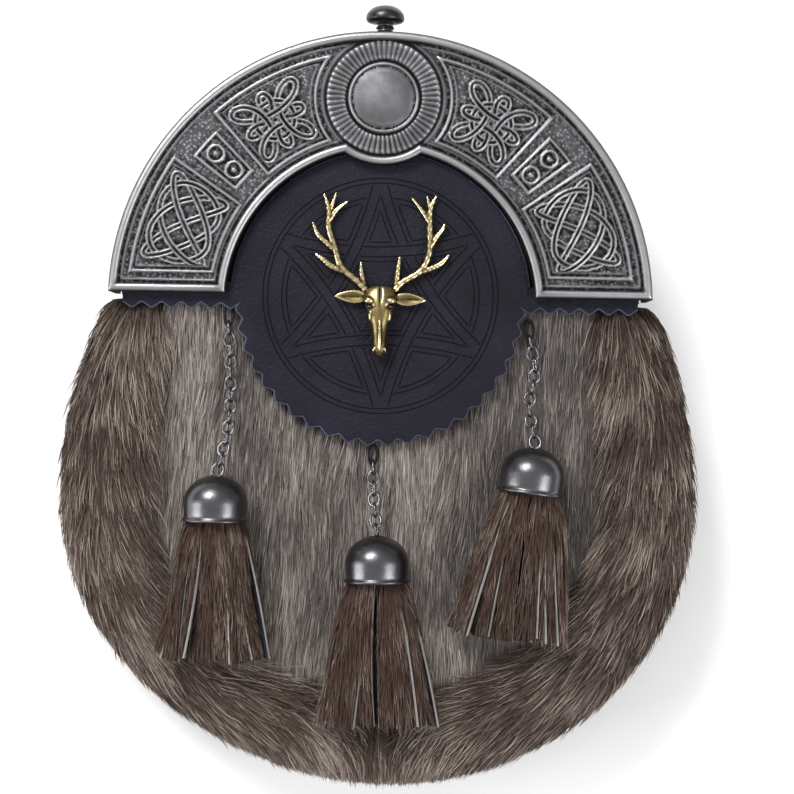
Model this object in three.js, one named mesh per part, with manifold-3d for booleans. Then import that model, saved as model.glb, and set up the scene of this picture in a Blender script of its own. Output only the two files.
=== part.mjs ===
// A dress sporran pouch lying on its back: a fur-faced pouch under a cast half-moon cantle,
// a scalloped leather apron with a stag-head badge, and three tassels on short chains.
//
// Millimetres. +Z comes out of the front, +Y runs up to the knob, and the outer face of the
// back flap lies on z = 0. Outlines are drawn from the cantle's centre line, x = 0, and the
// finished pouch is centred on its box.
import * as THREE from 'three';
import { mergeVertices } from 'three/addons/utils/BufferGeometryUtils.js';
import Module from 'manifold-3d';

const wasm = await Module();
wasm.setup();

// ---------------------------------------------------------------- driving dimensions

const GAP = 0.3; // between pieces that touch on the real pouch
const LEATHER = 2; // thickness of the leather pieces

// Body outline: two half-ellipses on one centre, which sways to one side at the bottom.
const BODY = { centreY: -33, halfWidth: 97, below: 85.5, above: 120, sway: 4 };
// The fur roll, where it stops under the cantle, and how much of its width it has lost there.
const RIM = { width: 24, endAngle: 0.53, narrowing: 0.28 };

// The cantle, and the circles that the pieces behind it follow.
const CANTLE = {
  centreY: 27,
  radius: 82.5,
  innerRadius: 47,
  legY: 29.5,
  lobeY: 89.4,
  lobeRadius: 20.4,
  plate: 2.4,
  rimWidth: 2.7,
  rimRise: 1.1,
  flange: 14,
  wall: 1.6,
};
const TOP_GUSSET_RADIUS = 79;
const PANEL_TOP_RADIUS = 66; // the front panel's edge, hidden behind the cantle

// Heights of the layers, from the back flap to the cantle.
const FLAP = 1.8;
const SNAP = 2.2;
const BACK = FLAP + SNAP + 2 * GAP;
const WALLS = BACK + LEATHER + GAP; // where the side walls stand on the back panel
const PANEL = { seam: 30, crown: 33, thickness: 4 };
const APRON = PANEL.crown + 1.6;
const PLATE = APRON + LEATHER + GAP;

const SCALLOP = { pitch: 6, depth: 1.8 };
const APRON_ROUND = { centreY: 28, radius: 44.4 };
const APRON_STRIP_Y = 26.4; // roots of the scallops under the cantle's legs

const THREAD_LOOP = { length: 7, width: 3.6, wire: 0.4, above: 2.1, behind: 0.8, slope: 0.2 };
const LINK = { length: 5.2, width: 4.2, wire: 0.375, slack: 0.2 };
const BELL = { radius: 9.65, height: 14, dome: 8.4, lip: 0.2, wall: 0.9, crownHole: 2.7 };

// ---------------------------------------------------------------- materials

function material(name, color, roughness, metalness) {
  const result = new THREE.MeshStandardMaterial({ color, roughness, metalness });
  result.name = name;
  return result;
}

const antiqueSilver = material('antique_silver', 0x8f8d91, 0.42, 0.9);
const gunmetal = material('gunmetal', 0x4a494d, 0.3, 0.95);
const antiqueBrass = material('antique_brass', 0xa8935f, 0.38, 0.95);
const darkLeather = material('dark_leather', 0x26242e, 0.6, 0);
const greyFur = material('grey_fur', 0x766c66, 0.9, 0);
const brownFur = material('brown_fur', 0x4d4039, 0.9, 0);
const blackThread = material('black_thread', 0x101012, 0.85, 0);

const sporran = new THREE.Group();

function addPiece(name, geometry, itsMaterial) {
  const mesh = new THREE.Mesh(geometry, itsMaterial);
  mesh.name = name;
  sporran.add(mesh);
  return mesh;
}

// ---------------------------------------------------------------- shape helpers

// Turns the triangles over if they enclose a negative volume.
function facingOut(geometry) {
  const place = geometry.attributes.position;
  const index = geometry.index.array;
  const corner = (k) => new THREE.Vector3().fromBufferAttribute(place, index[k]);
  let volume = 0;
  for (let k = 0; k < index.length; k += 3) {
    volume += corner(k).dot(corner(k + 1).cross(corner(k + 2)));
  }
  if (volume < 0) {
    for (let k = 0; k < index.length; k += 3) {
      [index[k], index[k + 1]] = [index[k + 1], index[k]];
    }
  }
  return geometry;
}

// A closed solid through a row of matching loops. `plan` is a loop's flat outline, which says
// how the caps on the first and last loops are cut into triangles.
function loft(loops, plan) {
  const size = loops[0].length;
  const faces = [];
  for (let row = 0; row < loops.length - 1; row += 1) {
    for (let k = 0; k < size; k += 1) {
      const a = row * size + k;
      const b = row * size + ((k + 1) % size);
      faces.push(a, b, b + size, a, b + size, a + size);
    }
  }
  const last = (loops.length - 1) * size;
  const turned = THREE.ShapeUtils.isClockWise(plan);
  for (const [a, b, c] of THREE.ShapeUtils.triangulateShape(plan, [])) {
    const cap = turned ? [a, c, b] : [a, b, c];
    faces.push(cap[0], cap[2], cap[1]);
    faces.push(last + cap[0], last + cap[1], last + cap[2]);
  }
  const geometry = new THREE.BufferGeometry();
  geometry.setFromPoints(loops.flat());
  geometry.setIndex(faces);
  return facingOut(geometry);
}

function circlePlan(sides) {
  const turn = (2 * Math.PI) / sides;
  return Array.from({ length: sides }, (_, k) => new THREE.Vector2(Math.cos(k * turn), Math.sin(k * turn)));
}

// Elliptical sections in x-z along the y axis. Rows are [y, half width, half depth, z].
function ellipseLoft(rows, sides) {
  const plan = circlePlan(sides);
  const loops = rows.map(([y, halfWidth, halfDepth, z]) =>
    plan.map((p) => new THREE.Vector3(p.x * halfWidth, y, z + p.y * halfDepth)),
  );
  return loft(loops, plan);
}

// A tapering rod through flat points. Rows are [x, y, radius], at height z.
function taperedRod(rows, z, sides) {
  const plan = circlePlan(sides);
  const loops = rows.map(([x, y, radius], k) => {
    const from = rows[Math.max(k - 1, 0)];
    const to = rows[Math.min(k + 1, rows.length - 1)];
    const across = new THREE.Vector2(to[1] - from[1], from[0] - to[0]).normalize();
    return plan.map(
      (p) => new THREE.Vector3(x + across.x * p.x * radius, y + across.y * p.x * radius, z + p.y * radius),
    );
  });
  return loft(loops, plan);
}

function lathe(profile, segments) {
  const points = profile.map(([radius, height]) => new THREE.Vector2(radius, height));
  return new THREE.LatheGeometry(points, segments);
}

// A ring of wire in the x-y plane: an oval whose longer axis is y.
function wireOval(length, width, wire, steps, sides) {
  const points = circlePlan(steps).map(
    (p) => new THREE.Vector3(p.x * (width / 2 - wire), p.y * (length / 2 - wire), 0),
  );
  return new THREE.TubeGeometry(new THREE.CatmullRomCurve3(points, true), steps, wire, sides, true);
}

// Extrudes an outline along +Z from one height to another.
function plate(shape, from, to, curveSegments = 12) {
  const geometry = new THREE.ExtrudeGeometry(shape, { depth: to - from, bevelEnabled: false, curveSegments });
  return geometry.translate(0, 0, from);
}

function toManifold(geometry) {
  const bare = geometry.clone();
  bare.deleteAttribute('normal');
  bare.deleteAttribute('uv');
  const merged = mergeVertices(bare, 1e-4);
  return new wasm.Manifold(
    new wasm.Mesh({
      numProp: 3,
      vertProperties: new Float32Array(merged.attributes.position.array),
      triVerts: new Uint32Array(merged.index.array),
    }),
  );
}

function joined(geometries) {
  const solid = geometries.map(toManifold).reduce((whole, next) => whole.add(next));
  const mesh = solid.getMesh();
  const geometry = new THREE.BufferGeometry();
  geometry.setAttribute('position', new THREE.BufferAttribute(mesh.vertProperties, 3));
  geometry.setIndex(new THREE.BufferAttribute(mesh.triVerts, 1));
  return geometry;
}

// ---------------------------------------------------------------- body outline

function swayed(x, y, height) {
  const drop = Math.max(0, BODY.centreY - y) / BODY.below;
  return new THREE.Vector3(x + BODY.sway * drop * drop, y, height);
}

// The outline as seen from a hub at the ellipses' centre, pulled in by `inset`. Above, it is
// whichever is further out, the ellipse or a circle on the cantle's centre.
function outlineReach(angle, inset, topRadius) {
  const across = Math.cos(angle) / (BODY.halfWidth - inset);
  const along = Math.sin(angle) / ((Math.sin(angle) > 0 ? BODY.above : BODY.below) - inset);
  const ellipse = 1 / Math.hypot(across, along);
  const lift = CANTLE.centreY - BODY.centreY;
  const under = topRadius ** 2 - (lift * Math.cos(angle)) ** 2;
  const circle = under > 0 ? lift * Math.sin(angle) + Math.sqrt(under) : 0;
  return Math.max(ellipse, circle);
}

// A domed sheet with that outline: its outer face from the hub to the edge, then its inner
// face back again. `topOf(x, y, share)` gives the outer face's height.
function domedSheet(inset, topRadius, thickness, topOf, shares, sides) {
  const plan = circlePlan(sides);
  const ring = (share, drop) =>
    plan.map((p) => {
      const reach = share * outlineReach(Math.atan2(p.y, p.x), inset, topRadius);
      const x = p.x * reach;
      const y = BODY.centreY + p.y * reach;
      return swayed(x, y, topOf(x, y, share) - drop);
    });
  const outer = shares.map((share) => ring(share, 0));
  const inner = shares.map((share) => ring(share, thickness)).reverse();
  return loft([...outer, ...inner], plan);
}

// Height of the front panel's fur: domed below, and flat under the apron and the cantle.
function panelTop(x, y, share) {
  const dome = PANEL.seam + (PANEL.crown - PANEL.seam) * (1 - share ** 4);
  return THREE.MathUtils.lerp(dome, PANEL.crown, THREE.MathUtils.smoothstep(y, 10, CANTLE.legY));
}

// ---------------------------------------------------------------- fur pieces

function furFrontPanel() {
  const shares = [0.25, 0.55, 0.78, 0.92, 1];
  const seamGap = RIM.width + GAP;
  const sheet = domedSheet(seamGap, PANEL_TOP_RADIUS, PANEL.thickness, panelTop, shares, 48);
  addPiece('fur_front_panel', sheet, greyFur);
}

// The fur roll round the sides and the bottom. Its section runs from the foot on the back
// panel, round the outside and over to the seam, then back along the inside of the wall.
function furGusset() {
  const outside = new THREE.SplineCurve([
    new THREE.Vector2(8.5, WALLS),
    new THREE.Vector2(1.6, 12),
    new THREE.Vector2(0, 19),
    new THREE.Vector2(2.4, 27),
    new THREE.Vector2(9, 32.4),
    new THREE.Vector2(16.5, 34),
    new THREE.Vector2(RIM.width, 32),
  ]);
  const inside = new THREE.SplineCurve([
    new THREE.Vector2(RIM.width, 25),
    new THREE.Vector2(16, 26),
    new THREE.Vector2(10.5, 22),
    new THREE.Vector2(9.5, 15),
    new THREE.Vector2(14.5, WALLS),
  ]);
  const section = [...outside.getPoints(8), ...inside.getPoints(4)];
  const stations = 34;
  const first = Math.PI - RIM.endAngle;
  const sweep = Math.PI + 2 * RIM.endAngle;
  const loops = [];
  for (let k = 0; k <= stations; k += 1) {
    const angle = first + (sweep * k) / stations;
    const above = Math.sin(angle) > 0;
    const reach = above ? BODY.above : BODY.below;
    // Above the widest line the roll is measured level, and it narrows towards its ends.
    const inward = above
      ? new THREE.Vector2(-Math.sign(Math.cos(angle)), 0)
      : new THREE.Vector2(-Math.cos(angle) / BODY.halfWidth, -Math.sin(angle) / reach).normalize();
    const narrowing = above ? 1 - RIM.narrowing * (Math.sin(angle) / Math.sin(RIM.endAngle)) ** 2 : 1;
    const edge = new THREE.Vector2(
      BODY.halfWidth * Math.cos(angle),
      BODY.centreY + reach * Math.sin(angle),
    );
    loops.push(
      section.map((s) => {
        const point = edge.clone().addScaledVector(inward, s.x * narrowing);
        return swayed(point.x, point.y, s.y);
      }),
    );
  }
  addPiece('fur_gusset', loft(loops, section), brownFur);
}

// ---------------------------------------------------------------- leather pieces

// A wall that follows the arc behind the cantle, from `start` above the level line round to
// the same height on the other side.
function arcWall(radius, thickness, start, from, to, curveSegments) {
  const shape = new THREE.Shape();
  shape.absarc(0, CANTLE.centreY, radius, start, Math.PI - start, false);
  shape.absarc(0, CANTLE.centreY, radius - thickness, Math.PI - start, start, true);
  return plate(shape, from, to, curveSegments);
}

const BACK_INSET = 8;
const MOUTH_Y = 72; // the back panel is cut off level here, and the mouth is above it

// Half ring of leather that closes the pouch behind the cantle. Above the back panel it
// reaches back to the flap, which is sewn to it.
function topGusset() {
  const overMouth = Math.asin((MOUTH_Y + LEATHER - CANTLE.centreY) / TOP_GUSSET_RADIUS);
  const wall = arcWall(TOP_GUSSET_RADIUS, LEATHER, 0.02, WALLS, APRON - GAP, 20);
  const skirting = arcWall(TOP_GUSSET_RADIUS, LEATHER, overMouth, FLAP + GAP, WALLS + 1, 16);
  addPiece('top_gusset', joined([wall, skirting]), darkLeather);
}

function backPanel() {
  const corner = Math.sqrt(TOP_GUSSET_RADIUS ** 2 - (MOUTH_Y - CANTLE.centreY) ** 2);
  const start = Math.atan2(MOUTH_Y - BODY.centreY, -corner);
  const sweep = 3 * Math.PI - 2 * start;
  const steps = 56;
  const points = [];
  for (let k = 0; k <= steps; k += 1) {
    const angle = start + (sweep * k) / steps;
    const reach = outlineReach(angle, BACK_INSET, TOP_GUSSET_RADIUS);
    const edge = swayed(Math.cos(angle) * reach, BODY.centreY + Math.sin(angle) * reach, 0);
    points.push(new THREE.Vector2(edge.x, edge.y));
  }
  addPiece('back_panel', plate(new THREE.Shape(points), BACK, BACK + LEATHER), darkLeather);
}

// The flap: wide where it covers the mouth, with a long rounded tongue below it.
const FLAP_TONGUE = { halfWidth: 46, y: -44, round: 26 };
const FLAP_SHOULDER = { y: 64, fall: 8, run: 4, curve: 16 }; // from the wide part to the tongue
const SNAP_BUTTON = { radius: 7, aboveEdge: 18 };

function backFlap() {
  const { y: side, fall, run, curve } = FLAP_SHOULDER;
  const corner = Math.sqrt(TOP_GUSSET_RADIUS ** 2 - (side - CANTLE.centreY) ** 2);
  const start = Math.atan2(side - CANTLE.centreY, corner);
  const { halfWidth, y, round } = FLAP_TONGUE;
  const shape = new THREE.Shape();
  shape.absarc(0, CANTLE.centreY, TOP_GUSSET_RADIUS, start, Math.PI - start, false);
  shape.bezierCurveTo(-corner + run, side - fall, -halfWidth, side, -halfWidth, side - curve);
  shape.absarc(-halfWidth + round, y + round, round, Math.PI, 1.5 * Math.PI, false);
  shape.absarc(halfWidth - round, y + round, round, -0.5 * Math.PI, 0, false);
  shape.lineTo(halfWidth, side - curve);
  shape.bezierCurveTo(halfWidth, side, corner - run, side - fall, corner, side);
  addPiece('back_flap', plate(shape, 0, FLAP, 16), darkLeather);
  const { radius, aboveEdge } = SNAP_BUTTON;
  const snap = new THREE.CylinderGeometry(radius, radius, SNAP, 20).rotateX(Math.PI / 2);
  snap.translate(0, y + aboveEdge, FLAP + GAP + SNAP / 2);
  addPiece('flap_snap', snap, gunmetal);
}

// Scallops from one point to the next along an arc or a line: each is a round-ended bump.
function scallops(pointAt, outwardAt, length) {
  const count = Math.round(length / SCALLOP.pitch);
  const points = [];
  for (let k = 0; k < count; k += 1) {
    for (const part of [0, 0.2, 0.5, 0.8]) {
      const along = (k + part) / count;
      const bump = SCALLOP.depth * Math.sqrt(Math.sin(Math.PI * part));
      points.push(pointAt(along).clone().addScaledVector(outwardAt(along), bump));
    }
  }
  return points;
}

function leatherApron() {
  const outer = TOP_GUSSET_RADIUS - 0.6;
  const root = APRON_ROUND.radius - SCALLOP.depth;
  const { centreY } = APRON_ROUND;
  const meet = Math.asin((APRON_STRIP_Y - centreY) / root);
  const inner = root * Math.cos(meet);
  const down = new THREE.Vector2(0, -1);
  const strip = (from, to) => {
    const pointAt = (t) => new THREE.Vector2(THREE.MathUtils.lerp(from, to, t), APRON_STRIP_Y);
    return scallops(pointAt, () => down, to - from);
  };
  const round = (t) => {
    const angle = Math.PI - meet + t * (Math.PI + 2 * meet);
    return new THREE.Vector2(Math.cos(angle), Math.sin(angle));
  };
  const arc = scallops(
    (t) => round(t).multiplyScalar(root).add(new THREE.Vector2(0, centreY)),
    round,
    root * (Math.PI + 2 * meet),
  );
  const end = new THREE.Vector2(outer, APRON_STRIP_Y);
  const points = [...strip(-outer, -inner), ...arc, ...strip(inner, outer), end];
  const shape = new THREE.Shape(points);
  shape.absarc(0, CANTLE.centreY, outer, 0.02, Math.PI - 0.02, false);
  addPiece('leather_apron', plate(shape, APRON, APRON + LEATHER, 28), darkLeather);
}

// ---------------------------------------------------------------- cantle and knob

// The plate's outline pulled in by `inset`: outer arc, legs, inner arc and the lobe under
// the boss.
function cantleShape(inset) {
  const outer = CANTLE.radius - inset;
  const inner = CANTLE.innerRadius + inset;
  const lobe = CANTLE.lobeRadius - inset;
  const legRise = CANTLE.legY + inset - CANTLE.centreY;
  const outerStart = Math.asin(legRise / outer);
  const innerStart = Math.asin(legRise / inner);
  // Where the lobe's circle crosses the inner circle.
  const apart = CANTLE.lobeY - CANTLE.centreY;
  const cuspY = (apart ** 2 + inner ** 2 - lobe ** 2) / (2 * apart);
  const cuspX = Math.sqrt(inner ** 2 - cuspY ** 2);
  const innerCusp = Math.atan2(cuspY, cuspX);
  const lobeCusp = Math.atan2(cuspY - apart, cuspX);
  const shape = new THREE.Shape();
  shape.absarc(0, CANTLE.centreY, outer, outerStart, Math.PI - outerStart, false);
  shape.absarc(0, CANTLE.centreY, inner, Math.PI - innerStart, Math.PI - innerCusp, true);
  shape.absarc(0, CANTLE.lobeY, lobe, Math.PI - lobeCusp, 2 * Math.PI + lobeCusp, false);
  shape.absarc(0, CANTLE.centreY, inner, innerCusp, innerStart, true);
  return shape;
}

// Rows are [radius, height above the plate's face]: the fluted band and the domed disc.
const BOSS = [[0, -1], [18.8, -1], [18.8, 0.3], [11, 0.5], [9.6, 1.3], [5, 2], [0, 2.2]];

function cantle() {
  const face = PLATE + CANTLE.plate;
  const base = plate(cantleShape(0), PLATE, face, 20);
  const band = cantleShape(0.3);
  band.holes.push(new THREE.Path(cantleShape(CANTLE.rimWidth).getPoints(20)));
  const rim = plate(band, face - 0.5, face + CANTLE.rimRise, 20);
  // The flange turned back round the outer edge carries the knob.
  const start = Math.asin((CANTLE.legY - CANTLE.centreY) / CANTLE.radius);
  const flange = arcWall(CANTLE.radius, CANTLE.wall, start, PLATE - CANTLE.flange, PLATE + 0.5, 20);
  const boss = lathe(BOSS, 32).rotateX(Math.PI / 2).translate(0, CANTLE.lobeY, face);
  addPiece('cantle', joined([base, rim, flange, boss]), antiqueSilver);
}

// Rows are [radius, height above the foot]: the foot, the ringed neck and the head.
const KNOB = [
  [0, 0], [3.6, 0], [3.6, 0.8], [2.5, 1.4], [2.9, 2.2], [2.4, 3], [3, 3.6], [5.4, 4.1], [5.9, 5.2],
  [5.6, 6.8], [4, 8.4], [1.8, 9.1], [0, 9.2],
];
const KNOB_BELOW_PLATE = 6.4; // its axis, at the middle of the flange

function topKnob() {
  const foot = CANTLE.centreY + CANTLE.radius + GAP;
  addPiece('top_knob', lathe(KNOB, 20).translate(0, foot, PLATE - KNOB_BELOW_PLATE), gunmetal);
}

// ---------------------------------------------------------------- stag-head badge

// Places on the badge are measured from the middle of the brow. An antler is its branches: the
// beam, the two crown tips, the two outer tines and the brow tine. Rows are [x, y, radius].
const LEFT_ANTLER = [
  [[-3.6, -0.6, 1.1], [-6.5, 2.3, 1], [-11.9, 7, 1], [-14, 12.8, 0.9], [-16, 19.1, 0.9], [-16, 24.4, 0.9],
    [-17.6, 29.2, 0.3]],
  [[-15.8, 23.6, 0.7], [-15, 26, 0.6], [-13.9, 29.6, 0.3]],
  [[-15.9, 20.8, 0.8], [-13.7, 24.3, 0.8], [-10.3, 27.1, 0.3]],
  [[-13.7, 12, 0.9], [-16.9, 14.5, 0.9], [-19.4, 17, 0.8], [-20.9, 20.6, 0.3]],
  [[-10, 5.4, 1], [-14.7, 7, 1], [-17.6, 9.3, 0.9], [-20, 11, 0.3]],
  [[-4.8, 0.8, 0.8], [-5.8, 5.4, 0.8], [-6.1, 8.8, 0.4]],
];
const RIGHT_ANTLER = [
  [[3.6, -0.6, 1.1], [6.8, 2.8, 1], [12.2, 6.3, 1], [14.7, 12, 0.9], [14.7, 19.1, 0.9], [14.8, 25, 0.9],
    [16.6, 29.2, 0.3]],
  [[14.8, 23.8, 0.7], [14.4, 26.3, 0.6], [13.6, 29, 0.3]],
  [[14.7, 20.8, 0.8], [12.4, 24.2, 0.7], [9.2, 28.3, 0.3]],
  [[14.9, 13.4, 0.9], [16.8, 16.6, 0.8], [18.7, 19.2, 0.7], [19.1, 20.8, 0.3]],
  [[11.8, 5.8, 1], [15.7, 7.2, 1.1], [18.6, 8.8, 1], [20.7, 11.4, 0.4]],
  [[4.8, 0.8, 0.9], [5.2, 6, 1], [5.7, 10.6, 0.5]],
];
// Rows are [y, half width, half depth, z].
const FACE = [
  [1.2, 3.4, 1.4, 2.6],
  [-0.6, 5.2, 2.2, 2.9],
  [-3.4, 5.6, 2.7, 3.2],
  [-7, 4.7, 2.8, 3.6],
  [-11, 3.2, 2.7, 4.1],
  [-15.5, 2.3, 2.5, 4.4],
  [-18, 2.6, 2.4, 4.3],
  [-19.8, 1.9, 1.6, 3.9],
];
const EAR = [[0, 0.9, 0.9, 0], [3.5, 2, 1, 0], [6.5, 1.5, 0.8, 0], [10, 0.3, 0.3, 0]];
const EAR_ROOT = { x: 4.6, leftY: -2.3, rightY: -2.7, z: 1.4, leftDroop: -0.04, rightDroop: 0.12 };
const BADGE_PAD = { radius: 3.4, height: 2.4, y: -4 }; // joins the head to the apron's badge pin
const BADGE_Y = 31;

function stagHead() {
  const back = APRON + LEATHER + GAP;
  const antlerZ = back + 1.2;
  const branches = [...LEFT_ANTLER, ...RIGHT_ANTLER].map((rows) => taperedRod(rows, antlerZ, 6));
  const head = ellipseLoft(FACE, 14).translate(0, 0, back - 0.4);
  const rightEar = ellipseLoft(EAR, 8);
  const leftEar = rightEar.clone();
  const { x, leftY, rightY, z, leftDroop, rightDroop } = EAR_ROOT;
  rightEar.rotateZ(-Math.PI / 2 + rightDroop).translate(x, rightY, back + z);
  leftEar.rotateZ(Math.PI / 2 + leftDroop).translate(-x, leftY, back + z);
  const { radius, height, y: padY } = BADGE_PAD;
  const pad = new THREE.CylinderGeometry(radius, radius, height, 16).rotateX(Math.PI / 2);
  pad.translate(0, padY, back + height / 2);
  const badge = joined([head, pad, rightEar, leftEar, ...branches]);
  addPiece('stag_head', badge.translate(0, BADGE_Y, 0), antiqueBrass);
}

// ---------------------------------------------------------------- belt rings at the back

const BELT_RING = { x: 60, y: 36, lean: 0.35, halfWidth: 9, depth: 12, wire: 1 };
const RING_TAB = { width: 13, length: 20, skin: 0.85, clear: 0.25 };

// A D-ring and the folded leather tab that holds it, flat against the back panel.
function beltRing(side, name) {
  const { wire, halfWidth, depth } = BELT_RING;
  const { skin } = RING_TAB;
  const fold = wire + RING_TAB.clear;
  const level = BACK - GAP - fold - skin;
  const lean = side * -BELT_RING.lean;
  const place = new THREE.Vector3(side * BELT_RING.x, BELT_RING.y, level);

  const bow = circlePlan(16)
    .slice(0, 9)
    .map((p) => new THREE.Vector3(halfWidth * p.x, depth * p.y, 0));
  const bar = [-halfWidth / 2, 0, halfWidth / 2].map((x) => new THREE.Vector3(x, 0, 0));
  const outline = new THREE.CatmullRomCurve3([...bar, ...bow], true, 'catmullrom', 0.1);
  const ring = new THREE.TubeGeometry(outline, 26, wire, 6, true);
  addPiece(`d_ring_${name}`, ring.rotateZ(lean).translate(place.x, place.y, place.z), gunmetal);

  // The tab's side view: round the bar, and down both faces to its sewn end.
  const profile = new THREE.Shape();
  profile.absarc(0, 0, fold + skin, Math.PI * 0.5, -Math.PI * 0.5, true);
  profile.lineTo(-RING_TAB.length, -fold - skin);
  profile.lineTo(-RING_TAB.length, fold + skin);
  profile.holes.push(new THREE.Path(circlePlan(12).map((p) => p.multiplyScalar(fold))));
  const { width } = RING_TAB;
  const tab = new THREE.ExtrudeGeometry(profile, { depth: width, bevelEnabled: false, curveSegments: 6 });
  tab.translate(0, 0, -width / 2).rotateX(Math.PI / 2).rotateZ(Math.PI / 2 + lean);
  addPiece(`ring_tab_${name}`, tab.translate(place.x, place.y, place.z), darkLeather);
}

// ---------------------------------------------------------------- tassels

// Routes run from under the apron's edge to the bell's crown. The skirt's sizes are beyond
// the bell's mouth, and `lean` turns the bell and the skirt in the pouch's plane.
const TASSELS = [
  {
    name: 'left',
    route: [[-46.1, 20.6, 35.3], [-45.3, 8, 36], [-45.3, -10, 38], [-48.3, -25.6, 42.6]],
    lean: -0.01,
    skirtLength: 41,
    skirtHalfWidth: 18.5,
  },
  {
    name: 'middle',
    route: [[-1.4, -21, 35.3], [-0.9, -32, 38], [0.3, -43, 42.8]],
    lean: 0.02,
    skirtLength: 43,
    skirtHalfWidth: 20,
  },
  {
    name: 'right',
    route: [[45.6, 17.8, 35.3], [47.4, 8, 36.2], [45.9, -3, 38.2], [47.7, -15.6, 42.6]],
    lean: -0.12,
    skirtLength: 44,
    skirtHalfWidth: 20,
  },
];

// Places a piece that is modelled along +Y, with its face towards +Z, on a route.
function along(point, direction, roll) {
  const y = direction.clone().normalize();
  const x = new THREE.Vector3().crossVectors(y, new THREE.Vector3(0, 0, 1)).normalize();
  const z = new THREE.Vector3().crossVectors(x, y);
  const frame = new THREE.Matrix4().makeBasis(x, y, z).setPosition(point);
  return frame.multiply(new THREE.Matrix4().makeRotationY(roll));
}

function chain(tassel) {
  const route = new THREE.CatmullRomCurve3(tassel.route.map((p) => new THREE.Vector3(...p)));
  const longestPitch = LINK.length - 4 * LINK.wire - LINK.slack;
  const links = Math.ceil(route.getLength() / longestPitch);
  for (let k = 0; k < links; k += 1) {
    const share = (k + 0.5) / links;
    const roll = ((k + 1) % 2) * (Math.PI / 2) + 0.2 * Math.sin(2.4 * k);
    const link = wireOval(LINK.length, LINK.width, LINK.wire, 12, 5);
    link.applyMatrix4(along(route.getPointAt(share), route.getTangentAt(share), roll));
    addPiece(`chain_${tassel.name}_link_${String(k + 1).padStart(2, '0')}`, link, gunmetal);
  }
  const start = new THREE.Vector3(...tassel.route[0]);
  const { length, width, wire, above, behind, slope } = THREAD_LOOP;
  const middle = start.clone().add(new THREE.Vector3(0, above, -behind));
  const hanger = wireOval(length, width, wire, 12, 6);
  hanger.applyMatrix4(along(middle, new THREE.Vector3(0, -1, slope), 0));
  addPiece(`thread_loop_${tassel.name}`, hanger, blackThread);
}

// The bell's outer profile from its mouth to the hole in its crown, then back inside.
function bellProfile() {
  const { radius, height, dome, lip, wall, crownHole } = BELL;
  const shoulder = height - dome;
  const arc = (reach, rise, parts) =>
    Array.from({ length: parts + 1 }, (_, k) => {
      const top = Math.acos(crownHole / reach);
      const angle = (top * k) / parts;
      return [reach * Math.cos(angle), shoulder + rise * Math.sin(angle)];
    });
  const outer = [[radius + lip, 0], [radius + lip, 1], [radius, 1.4], ...arc(radius, dome, 5)];
  const inner = [...arc(radius - wall, dome - wall, 4).reverse(), [radius - wall, 0]];
  const loop = [...outer, ...inner];
  return [...loop, loop[0]];
}

function bellAndSkirt(tassel) {
  const crown = new THREE.Vector3(...tassel.route.at(-1));
  const mouth = crown.clone();
  mouth.x += BELL.height * Math.sin(tassel.lean);
  mouth.y -= BELL.height * Math.cos(tassel.lean);
  const turned = (geometry) => geometry.rotateZ(tassel.lean).translate(mouth.x, mouth.y, mouth.z);
  addPiece(`tassel_bell_${tassel.name}`, turned(lathe(bellProfile(), 20)), gunmetal);

  // Below the mouth the bundle spreads and settles on to the fur.
  const { skirtLength, skirtHalfWidth } = tassel;
  const neck = BELL.radius - BELL.wall - GAP;
  const rows = [
    [3.4, neck - 0.6, neck - 0.6, 0],
    [-0.6, neck - 0.2, neck - 0.2, 0],
    [-4, neck + 1.6, 8.2, 0.2],
    [-14, skirtHalfWidth * 0.72, 7.9, -0.3],
    [-28, skirtHalfWidth * 0.9, 7, -1.2],
    [-skirtLength, skirtHalfWidth, 6.2, -2],
  ];
  addPiece(`tassel_skirt_${tassel.name}`, turned(ellipseLoft(rows, 20)), brownFur);
}

// ---------------------------------------------------------------- assembly

furFrontPanel();
furGusset();
topGusset();
backPanel();
backFlap();
leatherApron();
cantle();
topKnob();
stagHead();
beltRing(-1, 'left');
beltRing(1, 'right');
for (const tassel of TASSELS) {
  chain(tassel);
  bellAndSkirt(tassel);
}

const box = new THREE.Box3().setFromObject(sporran);
const centre = box.getCenter(new THREE.Vector3());
sporran.position.set(-centre.x, -centre.y, -box.min.z);

const whole = new THREE.Group();
whole.add(sporran);

export default whole;
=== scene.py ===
# The looks of a dress sporran pouch, which lies on its back: fur, leather, cast metal and tassels.
#
# Shapes are drawn in millimetres from the cantle's centre line, x = 0, as the pouch was drawn,
# and `placed` turns them into metres in the frame's own place.
import math

import bmesh
import bpy
import numpy as np
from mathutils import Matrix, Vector, kdtree


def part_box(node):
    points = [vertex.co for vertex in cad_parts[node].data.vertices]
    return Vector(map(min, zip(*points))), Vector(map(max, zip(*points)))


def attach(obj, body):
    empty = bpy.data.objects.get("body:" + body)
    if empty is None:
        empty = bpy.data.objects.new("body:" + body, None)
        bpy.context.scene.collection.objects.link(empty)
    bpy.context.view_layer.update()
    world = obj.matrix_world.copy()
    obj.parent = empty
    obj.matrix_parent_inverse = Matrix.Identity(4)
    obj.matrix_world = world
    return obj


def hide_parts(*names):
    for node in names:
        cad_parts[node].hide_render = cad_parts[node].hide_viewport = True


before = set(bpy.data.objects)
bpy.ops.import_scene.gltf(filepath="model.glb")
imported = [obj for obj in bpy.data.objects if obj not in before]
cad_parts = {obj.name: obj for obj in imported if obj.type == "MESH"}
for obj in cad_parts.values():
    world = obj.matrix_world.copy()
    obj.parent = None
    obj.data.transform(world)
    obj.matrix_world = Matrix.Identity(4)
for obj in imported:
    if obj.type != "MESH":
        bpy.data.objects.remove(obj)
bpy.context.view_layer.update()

MM = 0.001
UP = np.array([0.0, 0.0, 1.0])
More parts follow.
